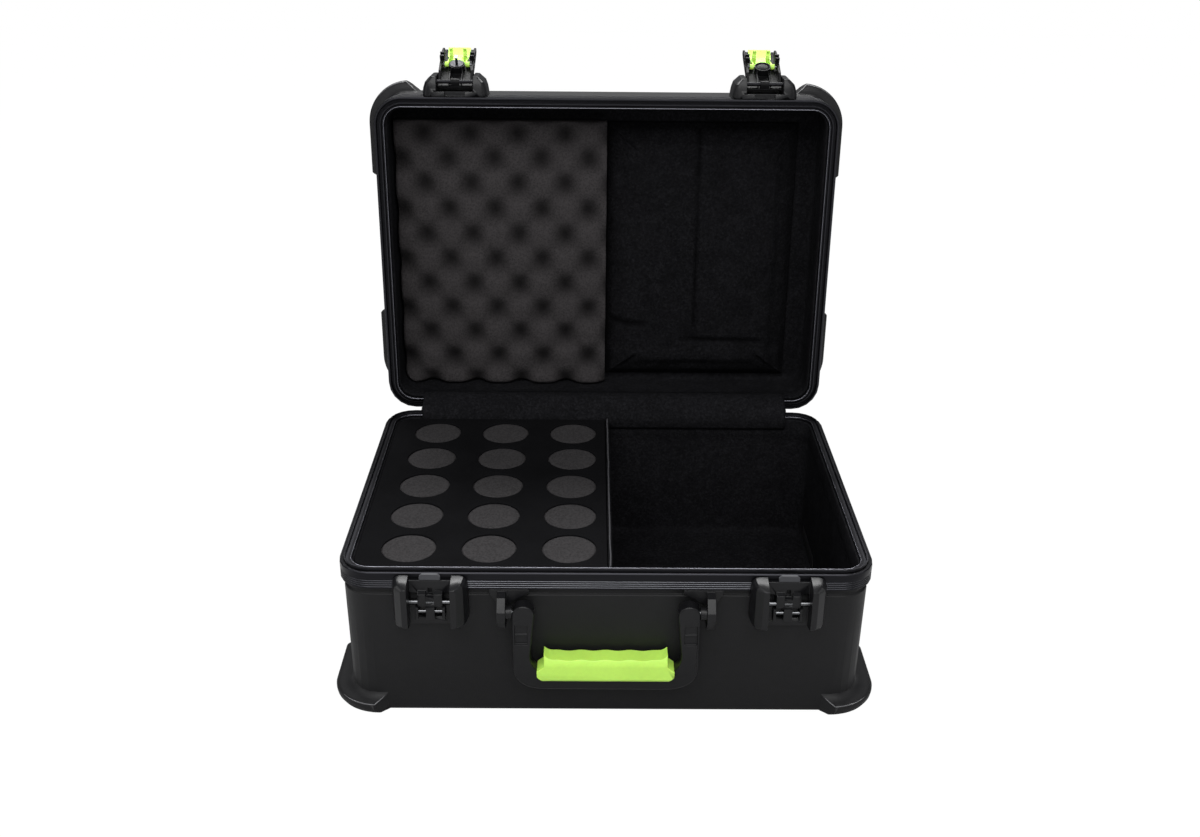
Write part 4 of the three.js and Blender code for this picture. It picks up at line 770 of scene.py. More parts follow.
def build_divider(material, tape):
    """A covered board across the case, thicker where the cloth wraps its top edge."""
    half, columns = DIVIDER_THICK / 2, 60
    rear_foot = HALF_Y - CONTENT_FOOT_INSET
    foot_top = CONTENT_FLOOR + FOOT_SLOPE
    levels = [(CONTENT_FLOOR, 1.0), (CONTENT_FLOOR + 4.3, 1.0)]
    levels += [(foot_top + (CONTENT_TOP - 2.6 - foot_top) * k / 16, 1.0) for k in range(17)]
    levels += [(CONTENT_TOP - 1.6, 0.93), (CONTENT_TOP - 0.7, 0.74)]
    levels += [(CONTENT_TOP - 0.15, 0.42), (CONTENT_TOP, 0.12)]
    rings = []
    for z, thin in levels:
        share = min(1.0, (z - CONTENT_FLOOR) / FOOT_SLOPE)
        front = -rear_foot + (CONTENT_FRONT + rear_foot) * share
        length = rear_foot + (CONTENT_REAR - rear_foot) * share - front
        points = []
        for side in (1, -1):
            for k in range(columns + 1):
                t = k / columns if side == 1 else 1 - k / columns
                y = front + length * t
                end = min(1.0, min(t, 1 - t) * length / 1.2) ** 0.5
                bulge = rumple((side * 40, y, z), 22, 0.18) - 0.18
                x = DIVIDER_X + side * (half * thin * (0.55 + 0.45 * end) + bulge)
                points.append(Vector((x, y, z)))
        rings.append(points)
    panel = lofted("divider_cover", rings, material, "base")
    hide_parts("divider_panel")

    rings = []
    steps, sides = 220, 10
    for k in range(steps + 1):
        y = CONTENT_FRONT + (CONTENT_REAR - CONTENT_FRONT) * k / steps
        sway, lift = rumple((0, y, 3), 34, 0.55), rumple((9, y, 0), 18, 0.2)
        radius = 0.85 * (1.0 + 0.1 * math.sin(y * 2.1)) * (0.5 if k in (0, steps) else 1.0)
        centre = Vector((DIVIDER_X + sway, y, CONTENT_TOP + 1.25 + lift))
        turns = (2 * math.pi * s / sides for s in range(sides))
        rings.append([centre + radius * Vector((math.cos(a), 0, math.sin(a) * 0.9)) for a in turns])
    piping = lofted("divider_tape", rings, tape, "base")
    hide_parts("divider_piping")


def bay_outline(inset, z):
    """The room left of the divider, anticlockwise from its front right corner."""
    small, past = 1.5, inset - CONTENT_INSET
    right = DIVIDER_X - DIVIDER_THICK / 2 - FIT - past - small
    radius = max(RIM_RADIUS - inset, MIN_RADIUS)
    left, front, rear = -HALF_X + inset, -HALF_Y + inset, CONTENT_REAR - past
    points = []
    for x, y, r, start in (
        (right, front + small, small, -90),
        (right, rear - small, small, 0),
        (left + radius, rear - radius, radius, 90),
        (left + radius, front + radius, radius, 180),
    ):
        points += [Vector((*p, z)) for p in arc(x, y, r, start, BAY_CORNER)]
    full = []
    for p, q in zip(points, points[1:] + points[:1]):
        cuts = int((q - p).length / 9) + 1
        full += [p.lerp(q, k / cuts) for k in range(cuts)]
    return full


def window_centres():
    for row in range(WINDOW_ROWS):
        for column in range(WINDOW_COLUMNS):
            x = WINDOW_FIELD[0] + (column - (WINDOW_COLUMNS - 1) / 2) * WINDOW_PITCH[0]
            yield x, WINDOW_FIELD[1] + (row - (WINDOW_ROWS - 1) / 2) * WINDOW_PITCH[1]


def circle(x, y, radius, z, uneven=0.0):
    """A circle of points, its radius a little uneven if asked."""
    points = []
    for k in range(CIRCLE_STEPS):
        a = 2 * math.pi * k / CIRCLE_STEPS
        along, across = math.cos(a), math.sin(a)
        r = radius + rumple((x + 30 * along, y + 30 * across, 5), 14, uneven)
        points.append(Vector((x + r * along, y + r * across, z)))
    return points


def build_foam_block(material, skin_material, window):
    """The foam block with its fifteen round plugs, and the thin skin with a window for each."""
    top = CONTENT_TOP - SKIN - 0.1
    inset = CONTENT_INSET + 0.2
    levels = [(inset, CONTENT_FLOOR + FOOT_SLOPE), (inset, CONTENT_FLOOR + 60), (inset, top - 60)]
    levels += [(inset, top - 1.4), (inset + 1.0, top - 0.3)]
    like = bay_outline(*levels[0])
    levels.insert(0, (CONTENT_FOOT_INSET + 0.2, CONTENT_FLOOR))
    outlines = (bay_outline(*level) for level in levels)
    rings = [points if len(points) == len(like) else resampled(points, like) for points in outlines]
    bm = bmesh.new()
    loft(bm, rings, capped=True)
    for x, y in window_centres():
        radius = window / 2 - 0.9
        rows = [(0.0, -2.4, 0.0), (0.0, 0.2, 0.35), (0.25, 0.5, 0.35), (0.9, 0.72, 0.35)]
        rings = [circle(x, y, radius - less, top + rise, uneven) for less, rise, uneven in rows]
        for share in (0.85, 0.6, 0.35, 0.12):
            rings.append(circle(x, y, radius * share, top + 0.78 + 0.2 * (1 - share)))
        loft(bm, rings, capped=True)
    block = made("foam_block_full", bm, material, "base", sharp=50)
    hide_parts("foam_block")

    bm = bmesh.new()
    high, low = CONTENT_TOP, CONTENT_TOP - SKIN
    inset = CONTENT_INSET + 0.1
    outline = bay_outline(inset + 1.3, high)
    rows = ((0.6, high - 0.12), (0.15, high - 0.5), (0.0, high - 0.9), (0.0, low))
    outer = [resampled(bay_outline(inset + more, z), outline) for more, z in rows]
    walls = [loft(bm, [outline] + outer)]
    rows = ((1.2, high, 0.5), (0.5, high - 0.12, 0.5), (0.1, high - 0.45, 0.4))
    rows += ((0.0, high - 0.9, 0.3), (0.0, low, 0.3))
    for x, y in window_centres():
        walls.append(loft(bm, [circle(x, y, window / 2 + more, z, uneven) for more, z, uneven in rows]))
    for end, up in ((0, 1), (-1, -1)):
        edges = []
        for wall in walls:
            loop = wall[end]
            edges += [bm.edges.get(pair) for pair in zip(loop, loop[1:] + loop[:1])]
        bmesh.ops.triangle_fill(
            bm, use_beauty=True, use_dissolve=False, edges=edges, normal=(0, 0, up)
        )
    skin = made("foam_skin", bm, skin_material, "base", sharp=50)
    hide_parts("foam_top_skin")


def marks_along(points):
    """The length of the line up to each of its points."""
    marks = [0.0]
    for a, b in zip(points, points[1:]):
        marks.append(marks[-1] + (b - a).length)
    return marks


def placed_along(points, wanted):
    """Points of the line at the wanted shares of its length, which rise."""
    marks = marks_along(points)
    result, at = [], 0
    for share in wanted:
        want = share * marks[-1]
        while marks[at + 1] < want and at < len(points) - 2:
            at += 1
        part = (want - marks[at]) / max(marks[at + 1] - marks[at], 1e-9)
        result.append(points[at].lerp(points[at + 1], part))
    return result


def resampled(points, like):
    """The same outline with the count of another, matched by share of its length."""
    marks = marks_along(like + like[:1])
    return placed_along(points + points[:1], [mark / marks[-1] for mark in marks[:-1]])


def build_crate(material, depth, period_x, period_y):
    """Egg-crate foam: round peaks and cut pits in a staggered field, with eased borders and painted
    shade deepest in the pits.
    """
    left = -HALF_X + CONTENT_INSET
    front, rear = -HALF_Y + CONTENT_INSET + CRATE_FRONT_GAP, HALF_Y - CONTENT_INSET
    radius = RIM_RADIUS - CONTENT_INSET
    shade_shares = []

    def face(u, v):
        x = left + 0.3 + (CRATE_WIDTH - 0.6) * u
        y = front + 0.3 + (rear - front - 0.6) * v
        dx, dy = max(0.0, left + radius - x), max(0.0, y - (rear - radius))
        if dx > 0 and dy > 0 and math.hypot(dx, dy) > radius - 0.4:
            keep = (radius - 0.4) / math.hypot(dx, dy)
            x, y = left + radius - dx * keep, rear - radius + dy * keep
        a = math.cos(2 * math.pi * (x - CRATE_PIT[0]) / period_x)
        b = math.cos(2 * math.pi * (y - CRATE_PIT[1]) / period_y)
        share = ((1 + a * b) / 2) ** 1.9
        # Painted shade kept for each vertex, deepest in the pits.
        shade_shares.append(share**1.6)
        edge = min(x - left, left + CRATE_WIDTH - x, y - front, rear - y)
        z = LID_CEILING - CRATE_THICK + depth * share + rumple((x, y, 0), 9, 0.35)
        return Vector((x, y, z + 1.2 * max(0.0, 1 - edge / 1.6) ** 2))

    bm = bmesh.new()
    painted_shade = bm.verts.layers.float.new("painted_shade")
    table = grid(bm, face, 92, 126)
    for vertex, share in zip((v for row in table for v in row), shade_shares):
        vertex[painted_shade] = share
    rim = border(table)
    levels = []
    for share in (0.35, 0.7, 1.0):
        level = []
        for v in rim:
            x, y, z = v.co
            z += (LID_CEILING - 0.1 - z) * share
            rise = max(0.0, z - (LID_CEILING - FOOT_SLOPE)) / FOOT_SLOPE
            slope = rise * (CONTENT_FOOT_INSET - CONTENT_INSET)
            x = min(max(x, left + slope), left + CRATE_WIDTH)
            level.append((x, min(max(y, front + slope), rear - slope), z))
        levels.append(level)
    skirt(bm, rim, levels)
    crate = made("crate_foam", bm, material, "lid")
    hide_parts("lid_crate_foam")


def inflate(obj, cap, pressure, pinned):
    """Swells a closed mesh with cloth pressure, holding the pinned vertices, and caps the movement."""
    obj.vertex_groups.new(name="held").add(pinned, 1.0, "REPLACE")
    cloth = obj.modifiers.new("swell", "CLOTH")
    settings = cloth.settings
    settings.quality = 5
    settings.mass = 0.25
    settings.tension_stiffness = 12
    settings.compression_stiffness = 12
    settings.bending_stiffness = 0.8
    settings.use_pressure = True
    settings.uniform_pressure_force = pressure
    settings.effector_weights.gravity = 0
    settings.vertex_group_mass = "held"
    cloth.collision_settings.use_collision = False
    scene = bpy.context.scene
    for step in range(1, CLOTH_FRAMES + 1):
        scene.frame_set(step)
    swollen = obj.evaluated_get(bpy.context.evaluated_depsgraph_get())
    moved = [v.co.copy() for v in swollen.to_mesh().vertices]
    swollen.to_mesh_clear()
    obj.modifiers.clear()
    obj.vertex_groups.clear()
    scene.frame_set(1)
    for vertex, end in zip(obj.data.vertices, moved):
        shift = end - vertex.co
        if shift.length > cap:
            shift *= cap / shift.length
        vertex.co += shift


def build_pad(material, fill):
    """The plush pad of the lid: a stuffed cover swollen by cloth pressure, then creased and tucked,
    with painted shade in its creases.
    """
    left, right = PAD_LEFT + 0.4, PAD_LEFT + PAD_WIDTH - 0.6
    front, rear = -HALF_Y + CONTENT_INSET + PAD_FRONT_GAP, HALF_Y - CONTENT_INSET - 6.5
    low, high = LID_CEILING - PAD_THICK + 4.8 * fill, LID_CEILING - 0.3
    shoulder, fall = 21.0, 15.0

    def spread(t):
        """Closer steps at both ends."""
        return t - 0.55 * math.sin(2 * math.pi * t) / (2 * math.pi)

    def face(u, v):
        x = left + (right - left) * spread(u)
        y = front + (rear - front) * spread(v)
        share = max(0.0, 1 - min(x - left, right - x, y - front, rear - y) / shoulder)
        return Vector((x, y, low + fall * (1 - math.sqrt(max(0.0, 1 - share**2.4)))))

    def dent(value, width):
        return math.exp(-((value / width) ** 2))

    bm = bmesh.new()
    bm.verts.layers.float.new("painted_shade")
    rim = border(grid(bm, face, 84, 122))
    start = [tuple(v.co) for v in rim]
    half = [(x, y, (z + high) / 2) for x, y, z in start]
    skirt(bm, rim, (half, [(x, y, high) for x, y, z in start]))
    pad = made("lid_plush_pad", bm, material, None)
    pinned = [v.index for v in pad.data.vertices if v.co.z > (high - 4) * MM]
    inflate(pad, 0.0042 * fill, 4.0, pinned)
    top = (LID_CEILING - PAD_THICK + 0.2) * MM
    for vertex, mark in zip(pad.data.vertices, pad.data.attributes["painted_shade"].data):
        p = vertex.co / MM
        share = clamp((high - 5 - p.z) / 8)
        crease = dent(p.x - PAD_CREASE - 1.2 * math.sin(p.y / 47), 2.4)
        crease *= clamp((p.y + 172) / 25) * clamp((122 - p.y) / 30)
        tuck = dent(p.y - 92 - 5 * math.sin((p.x - PAD_LEFT) / 30), 3.4) * clamp((60 - p.x) / 22)
        groove = dent(p.y - 117 - 0.02 * (p.x - 130), 2.8)
        groove *= clamp((p.x - 92) / 18) * clamp((206 - p.x) / 14)
        swell = 0.5 + 0.5 * math.sin(p.y / 19 + 0.8 * math.sin(p.x / 34))
        band = clamp((136 - p.y) / 8) if p.y > 112 else 1.0
        lift = 3.6 * crease + 3.6 * tuck + 3.2 * groove + 0.35 * swell + 1.8 * band
        lift += abs(rumple((p.x, p.y, 4), 24, 1.6)) + abs(rumple((p.x, p.y, 9), 8, 0.5))
        # Painted shade in the crease, the tuck and the groove.
        mark.value = share * min(1.0, 0.75 * crease + 0.8 * tuck + 0.8 * groove)
        p.x = min(max(p.x, left - 0.2), right + 0.3)
        p.y = min(max(p.y, front - 2), rear + 1.5)
        p.z += lift * share
        vertex.co = p * MM
        vertex.co.z = max(vertex.co.z, top)
    pad.data.transform(LID_TURN)
    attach(pad, "lid")
    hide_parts("lid_pad")


def flap_route():
    """Side view of the flap's middle line, from the base wall up to the open lid's wall."""
    y = HALF_Y - LINING_INSET - LINING - FIT - FLAP_THICK / 2
    along, up = math.cos(OPEN_ANGLE), math.sin(OPEN_ANGLE)

    def lid_point(below):
        reach, rise = HINGE_Y - y, lid_level(below) - HINGE_Z
        return HINGE_Y - along * reach + up * rise, HINGE_Z + up * reach + along * rise

    start = (y, BASE_HEIGHT - FLAP_GLUED), (y, BASE_HEIGHT)
    return [*start, lid_point(FLAP_THICK), lid_point(FLAP_GLUED)]


def between(p, q, low, high, at):
    return p * ((high - at) / (high - low)) + q * ((at - low) / (high - low))


def centripetal(points, steps):
    """Points evenly placed along a centripetal Catmull-Rom curve, and its length."""
    pts = [Vector(p) for p in points]
    pts = [pts[0] * 2 - pts[1]] + pts + [pts[-1] * 2 - pts[-2]]
    dense = []
    for four in zip(pts, pts[1:], pts[2:], pts[3:]):
        t = [0.0]
        for p, q in zip(four, four[1:]):
            t.append(t[-1] + math.sqrt((q - p).length))
        for k in range(40):
            s = t[1] + (t[2] - t[1]) * k / 40
            a, b, c = (between(four[i], four[i + 1], t[i], t[i + 1], s) for i in range(3))
            a, b = between(a, b, t[0], t[2], s), between(b, c, t[1], t[3], s)
            dense.append(between(a, b, t[1], t[2], s))
    dense.append(pts[-2])
    return placed_along(dense, [k / steps for k in range(steps + 1)]), marks_along(dense)[-1]


def build_flap(material, ripple):
    """The plush flap over the hinge line, with soft ripples across its free middle."""
    steps, columns = 16, 110
    middle, length = centripetal(flap_route(), steps)
    rings = []
    for i in range(columns + 1):
        x = -FLAP_LENGTH / 2 + FLAP_LENGTH * i / columns
        edge = min(1.0, min(i, columns - i) / 1.2)
        front, rear = [], []
        for k, point in enumerate(middle):
            tangent = (middle[min(steps, k + 1)] - middle[max(0, k - 1)]).normalized()
            normal = Vector((-tangent.y, tangent.x))
            free = math.sin(math.pi * k / steps) ** 2
            wobble = rumple((x, k * 2.4, 0), 11, ripple) + rumple((x, k * 1.2, 7), 34, ripple)
            thick = FLAP_THICK / 2 * (0.35 + 0.65 * edge) * (0.6 if k in (0, steps) else 1.0)
            centre = point + normal * wobble * free
            front.append(Vector((x, *(centre + normal * thick))))
            rear.append(Vector((x, *(centre - normal * thick))))
        rings.append(front + list(reversed(rear)))
    flap = lofted("hinge_cover", rings, material, None)
    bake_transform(flap)
    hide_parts("hinge_flap")


# Repeated small parts


def studs_tree(material):
    """Node group: round heads at an even pitch along an edge chain."""
    tree = bpy.data.node_groups.new("heads_along", "GeometryNodeTree")
    face = tree.interface
    face.new_socket("Geometry", in_out="INPUT", socket_type="NodeSocketGeometry")
    for name, value in (("Pitch", 0.05), ("Radius", 0.002), ("Rise", 0.001)):
        socket = face.new_socket(name, in_out="INPUT", socket_type="NodeSocketFloat")
        socket.default_value = value
        socket.subtype = "DISTANCE"
    face.new_socket("Geometry", in_out="OUTPUT", socket_type="NodeSocketGeometry")
    new = tree.nodes.new
    start, end, size = new("NodeGroupInput"), new("NodeGroupOutput"), new("ShaderNodeCombineXYZ")
    spaced, head = new("GeometryNodeResampleCurve"), new("GeometryNodeMeshUVSphere")
    spaced.mode = "LENGTH"
    for name, value in (("Segments", 18), ("Rings", 10), ("Radius", 1.0)):
        head.inputs[name].default_value = value
    curve, flat = new("GeometryNodeMeshToCurve"), new("GeometryNodeTransform")
    placed, real = new("GeometryNodeInstanceOnPoints"), new("GeometryNodeRealizeInstances")
    smooth, paint = new("GeometryNodeSetShadeSmooth"), new("GeometryNodeSetMaterial")
    paint.inputs["Material"].default_value = material
    for source, output, target, socket in (
        (start, "Geometry", curve, "Mesh"),
        (curve, "Curve", spaced, "Curve"),
        (start, "Pitch", spaced, "Length"),
        (start, "Radius", size, "X"),
        (start, "Rise", size, "Y"),
        (start, "Radius", size, "Z"),
        (head, "Mesh", flat, "Geometry"),
        (size, "Vector", flat, "Scale"),
        (spaced, "Curve", placed, "Points"),
        (flat, "Geometry", placed, "Instance"),
        (placed, "Instances", real, "Geometry"),
        (real, "Geometry", smooth, "Geometry"),
        (smooth, "Geometry", paint, "Geometry"),
        (paint, "Geometry", end, "Geometry"),
    ):
        tree.links.new(source.outputs[output], target.inputs[socket])
    return tree


def build_studs(tree, name, body, height, pitch, radius, material):
    """One row of rivet heads on a hinge leaf, placed by the node group and then made plain mesh."""
    mesh = bpy.data.meshes.new(name)
    ends = [(x * MM, (LEAF_FACE + 0.1) * MM, height * MM) for x in (-STUD_REACH, STUD_REACH)]
    mesh.from_pydata(ends, [(0, 1)], [])
    obj = linked(name, mesh)
    modifier = obj.modifiers.new("heads", "NODES")
    modifier.node_group = tree
    values = {"Pitch": pitch, "Radius": radius, "Rise": radius * 0.42}
    for item in tree.interface.items_tree:
        if item.item_type == "SOCKET" and item.in_out == "INPUT" and item.name in values:
            modifier[item.identifier] = values[item.name]
    applied(obj)
    if not obj.data.polygons:
        raise RuntimeError(f"{name}: the node group made no heads")
    if body == "lid":
        obj.data.transform(LID_TURN)
    obj.data.materials.clear()
    obj.data.materials.append(material)
    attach(obj, body)


# Settings


def colour_property(name, description, default):
    return bpy.props.FloatVectorProperty(
        name=name,
        description=description,
        default=default,
        subtype="COLOR_GAMMA",
        size=3,
        min=0,
        max=1,
    )


def length_property(name, description, default, low, high):
    return bpy.props.FloatProperty(
        name=name,
        description=description,
        default=default,
        min=low,
        max=high,
        subtype="DISTANCE",
        unit="LENGTH",
    )


class MicCaseSettings(bpy.types.PropertyGroup):
    shell_colour: colour_property("Shell", "Colour of the moulded shells", (0.08, 0.08, 0.085))
    hardware_colour: colour_property("Hardware", "Colour of latches and handle", (0.066, 0.066, 0.073))
    frame_colour: colour_property("Frame", "Colour of the anodised rims", (0.135, 0.135, 0.147))
    plush_colour: colour_property("Plush", "Colour of the lining, pad and flap", (0.058, 0.058, 0.064))
    skin_colour: colour_property("Skin", "Colour of the foam block's skin", (0.04, 0.04, 0.046))
    foam_colour: colour_property("Foam", "Colour of the block's round plugs", (0.155, 0.15, 0.153))
    crate_colour: colour_property("Egg-crate", "Colour of the egg-crate foam", (0.168, 0.16, 0.163))
    grip_colour: colour_property("Accent", "Colour of the grip and triggers", (0.71, 0.885, 0.355))
    piping_colour: colour_property("Piping", "Colour of the divider's edge tape", (0.24, 0.24, 0.25))
    window: length_property("Window", "Diameter of each window in the skin", 0.055, 0.02, 0.06)
    crate_depth: length_property("Crate depth", "Depth of the egg-crate pits", 0.014, 0.002, 0.018)
    crate_period_x: length_property("Crate period X", "Spacing of the pits across", 0.0564, 0.03, 0.09)
    crate_period_y: length_property("Crate period Y", "Spacing of the pits along", 0.0626, 0.03, 0.09)
    nap: length_property("Lining unevenness", "Height of the lining's waves", 0.0006, 0.0, 0.002)
    ripple: length_property("Flap ripple", "Height of the flap's ripples", 0.0008, 0.0, 0.002)
    rivet_pitch: length_property("Rivet pitch", "Spacing of the hinge rivets", 0.052, 0.02, 0.12)
    rivet_radius: length_property("Rivet radius", "Radius of a rivet's head", 0.0024, 0.001, 0.004)
    pad_fill: bpy.props.FloatProperty(
        name="Pad fill", description="How far the lid pad swells", default=1.0, min=0.2, max=1.2
    )


def settings():
    return bpy.context.scene.mic_case


def paint(kind):
    """The material of that kind, made once from the settings."""
    name = "case_" + kind
    found = bpy.data.materials.get(name)
    if found:
        return found
    s = settings()
    kinds = {
        "moulded": (moulded, s.shell_colour),
        "hardware": (moulded, s.hardware_colour, 0.33, 0.00005, 0.6, 0.24),
        "lever": (moulded, (0.03, 0.03, 0.035), 0.5, 0.00005, 0.5, 0.12),
        # Light grey plastic for the tube along each bumper's crest, a painted highlight.
        "painted_highlight": (moulded, (0.36, 0.36, 0.37), 0.3, 0.00005, 0.6, 0.8),
        "tab": (moulded, (0.25, 0.252, 0.265), 0.5, 0.00008, 0.5),
        "frame": (anodised, s.frame_colour, False),
        # The lid's frame is the same anodised colour made a tenth darker, a painted shade on that copy.
        "frame_lid": (anodised, [c * 0.9 for c in s.frame_colour], True),
        "steel": (steel, (0.45, 0.455, 0.465)),
        "blackened": (steel, (0.13, 0.13, 0.14), 0.36),
        # Bright steel for the bead round each rim's inner edge, a painted highlight.
        "lip": (steel, (0.5, 0.5, 0.53), 0.3),
        "plush": (plush, s.plush_colour, 1.4),
        # The flap and pad are darker tones of the lining's one plush colour, painted shade.
        "plush_flap": (plush, s.plush_colour, 1.35),
        "plush_pad": (plush, s.plush_colour, 1.15, 0.8),
        "skin": (knit, s.skin_colour),
        "foam": (open_cell, s.foam_colour, 430, 0.0005, 1.25),
        # The last number here and on plush_pad is the strength of the painted shade.
        "crate": (open_cell, s.crate_colour, 420, 0.0007, 1.2, 0.75),
        "piping": (braided, s.piping_colour),
        "lime": (soft_touch, s.grip_colour),
    }
    maker, *values = kinds[kind]
    return maker(name, *values)


# Operators


class CaseOperator:
    bl_options = {"REGISTER", "UNDO"}

    def execute(self, context):
        self.build(settings())
        return {"FINISHED"}


class MICCASE_OT_shells(CaseOperator, bpy.types.Operator):
    """Dress the two moulded shells"""

    bl_idname = "mic_case.shells"
    bl_label = "Shells"

    def build(self, s):
        for name in ("base_shell", "lid_shell"):
            eased(name, paint("moulded"), 0.6)
        for body, shell in SHELLS.items():
            for x, across in ((-1, "left"), (1, "right")):
                for y, along in ((-1, "front"), (1, "rear")):
                    corner = f"{along}_{across}"
                    build_bumper(f"{body}_bumper_{corner}", shell, (x, y), body, paint("moulded"))
                    # The painted highlight along each bumper's crest.
                    name = f"{body}_bumper_edge_{corner}"
                    build_bumper_highlight(name, shell, (x, y), body, paint("painted_highlight"))


class MICCASE_OT_frames(CaseOperator, bpy.types.Operator):
    """Dress the two anodised rim frames"""

    bl_idname = "mic_case.frames"
    bl_label = "Rim frames"

    def build(self, s):
        eased("base_frame", paint("frame"), 0.18, angle=20)
        eased("lid_frame", paint("frame_lid"), 0.18, angle=20)
        for body, (_, level) in SHELLS.items():
            # A painted highlight: a bright bead round each rim's inner edge.
            build_highlight_bead(body + "_rim_lip", LINING_INSET, level(0.3), 0.42, paint("lip"), body)


class MICCASE_OT_linings(CaseOperator, bpy.types.Operator):
    """Build the plush linings of base and lid"""

    bl_idname = "mic_case.linings"
    bl_label = "Linings"

    def build(self, s):
        for body, (depth, level) in SHELLS.items():
            lining = build_lining(depth, level, body, paint("plush"), s.nap / MM)
            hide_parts(body + "_lining")


class MICCASE_OT_divider(CaseOperator, bpy.types.Operator):
    """Build the covered divider and its edge tape"""

    bl_idname = "mic_case.divider"
    bl_label = "Divider"

    def build(self, s):
        build_divider(paint("plush"), paint("piping"))


class MICCASE_OT_foam(CaseOperator, bpy.types.Operator):
    """Build the foam block, its round plugs and its skin"""

    bl_idname = "mic_case.foam"
    bl_label = "Foam block"

    def build(self, s):
        build_foam_block(paint("foam"), paint("skin"), s.window / MM)


class MICCASE_OT_crate(CaseOperator, bpy.types.Operator):
    """Build the egg-crate foam of the lid"""

    bl_idname = "mic_case.crate"
    bl_label = "Egg-crate foam"

    def build(self, s):
        sizes = (s.crate_depth, s.crate_period_x, s.crate_period_y)
        build_crate(paint("crate"), *(size / MM for size in sizes))


class MICCASE_OT_pad(CaseOperator, bpy.types.Operator):
    """Build the plush pad of the lid"""

    bl_idname = "mic_case.pad"
    bl_label = "Lid pad"

    def build(self, s):
        build_pad(paint("plush_pad"), s.pad_fill)


class MICCASE_OT_flap(CaseOperator, bpy.types.Operator):
    """Build the plush flap over the hinge line"""

    bl_idname = "mic_case.flap"
    bl_label = "Hinge flap"

    def build(self, s):
        build_flap(paint("plush_flap"), s.ripple / MM)


class MICCASE_OT_hinge(CaseOperator, bpy.types.Operator):
    """Dress the continuous hinge and set its rivets"""

    bl_idname = "mic_case.hinge"
    bl_label = "Hinge"

    def build(self, s):
        for name in ("hinge_leaf_base", "hinge_leaf_lid"):
            eased(name, paint("hardware"), 0.15)
        eased("hinge_pin", paint("steel"), 0.12)
        tree = studs_tree(paint("steel"))
        look = (s.rivet_pitch, s.rivet_radius, paint("steel"))
        for body, way in (("base", -1), ("lid", 1)):
            height = HINGE_Z + way * (KNUCKLE + STUD_DROP)
            build_studs(tree, body + "_leaf_rivets", body, height, *look)


class MICCASE_OT_handle(CaseOperator, bpy.types.Operator):
    """Dress the carrying handle and its brackets"""

    bl_idname = "mic_case.handle"
    bl_label = "Handle"

    def build(self, s):
        eased("handle_bail", paint("hardware"), 0.5)
        eased("handle_grip", paint("lime"), 0.9, angle=30, segments=3)
        for side in ("left", "right"):
            eased("handle_bracket_" + side, paint("hardware"), 0.5)
            eased("handle_pin_" + side, paint("steel"), 0.3)


class MICCASE_OT_keepers(CaseOperator, bpy.types.Operator):
    """Dress the keepers on the base"""

    bl_idname = "mic_case.keepers"
    bl_label = "Keepers"

    def build(self, s):
        for side in ("left", "right"):
            eased("keeper_" + side, paint("hardware"), 0.5)
            eased("keeper_tab_" + side, paint("tab"), 0.4)
            for pin in ("upper", "lower"):
                eased(f"keeper_{pin}_pin_{side}", paint("steel"), 0.15)


class MICCASE_OT_latches(CaseOperator, bpy.types.Operator):
    """Dress the latches of the lid, with lock and plug"""

    bl_idname = "mic_case.latches"
    bl_label = "Latches"

    def build(self, s):
        for side in ("left", "right"):
            eased("latch_housing_" + side, paint("hardware"), 0.5)
            eased("lever_" + side, paint("lever"), 0.3)
            eased("trigger_" + side, paint("lime"), 0.3)
            eased("lever_pin_" + side, paint("blackened"), 0.25)
            eased("trigger_spring_" + side, paint("steel"), 0)
            for end in ("a", "b"):
                eased(f"trigger_pin_{side}_{end}", paint("steel"), 0.15)
                eased(f"lever_rivet_{side}_{end}", paint("steel"), 0.15)
        for side, x in LATCH_X:
            build_latch_wall("latch_wall_" + side, x, paint("hardware"))
        eased("lock_cylinder", paint("blackened"), 0.15)
        eased("lock_bolt", paint("steel"), 0.15)
        eased("blank_plug", paint("lever"), 0.2)


class MICCASE_OT_stage(CaseOperator, bpy.types.Operator):
    """Set the floor, the lights and the camera"""

    bl_idname = "mic_case.stage"
    bl_label = "Stage"

    def build(self, s):
        for build in (build_world, build_floor, build_lights, build_camera):
            build()


class MICCASE_PT_panel(bpy.types.Panel):
    bl_label = "Microphone Case"
    bl_idname = "MICCASE_PT_panel"
    bl_space_type = "VIEW_3D"
    bl_region_type = "UI"
    bl_category = "Mic Case"

    def draw(self, context):
        for name in MicCaseSettings.__annotations__:
            self.layout.prop(context.scene.mic_case, name)
        for operator in OPERATORS:
            self.layout.operator(operator.bl_idname)


OPERATORS = (
    MICCASE_OT_shells,
    MICCASE_OT_frames,
    MICCASE_OT_linings,
    MICCASE_OT_divider,
    MICCASE_OT_foam,
    MICCASE_OT_crate,
    MICCASE_OT_pad,
    MICCASE_OT_flap,
    MICCASE_OT_hinge,
    MICCASE_OT_handle,
    MICCASE_OT_keepers,
    MICCASE_OT_latches,
    MICCASE_OT_stage,
)
CLASSES = (MicCaseSettings,) + OPERATORS + (MICCASE_PT_panel,)


# Stage


def emptied(tree, *kinds):
    """Clears a shader tree and gives its new nodes, one of each kind, and its links."""
    tree.nodes.clear()
    return [tree.nodes.new("ShaderNode" + kind) for kind in kinds] + [tree.links]


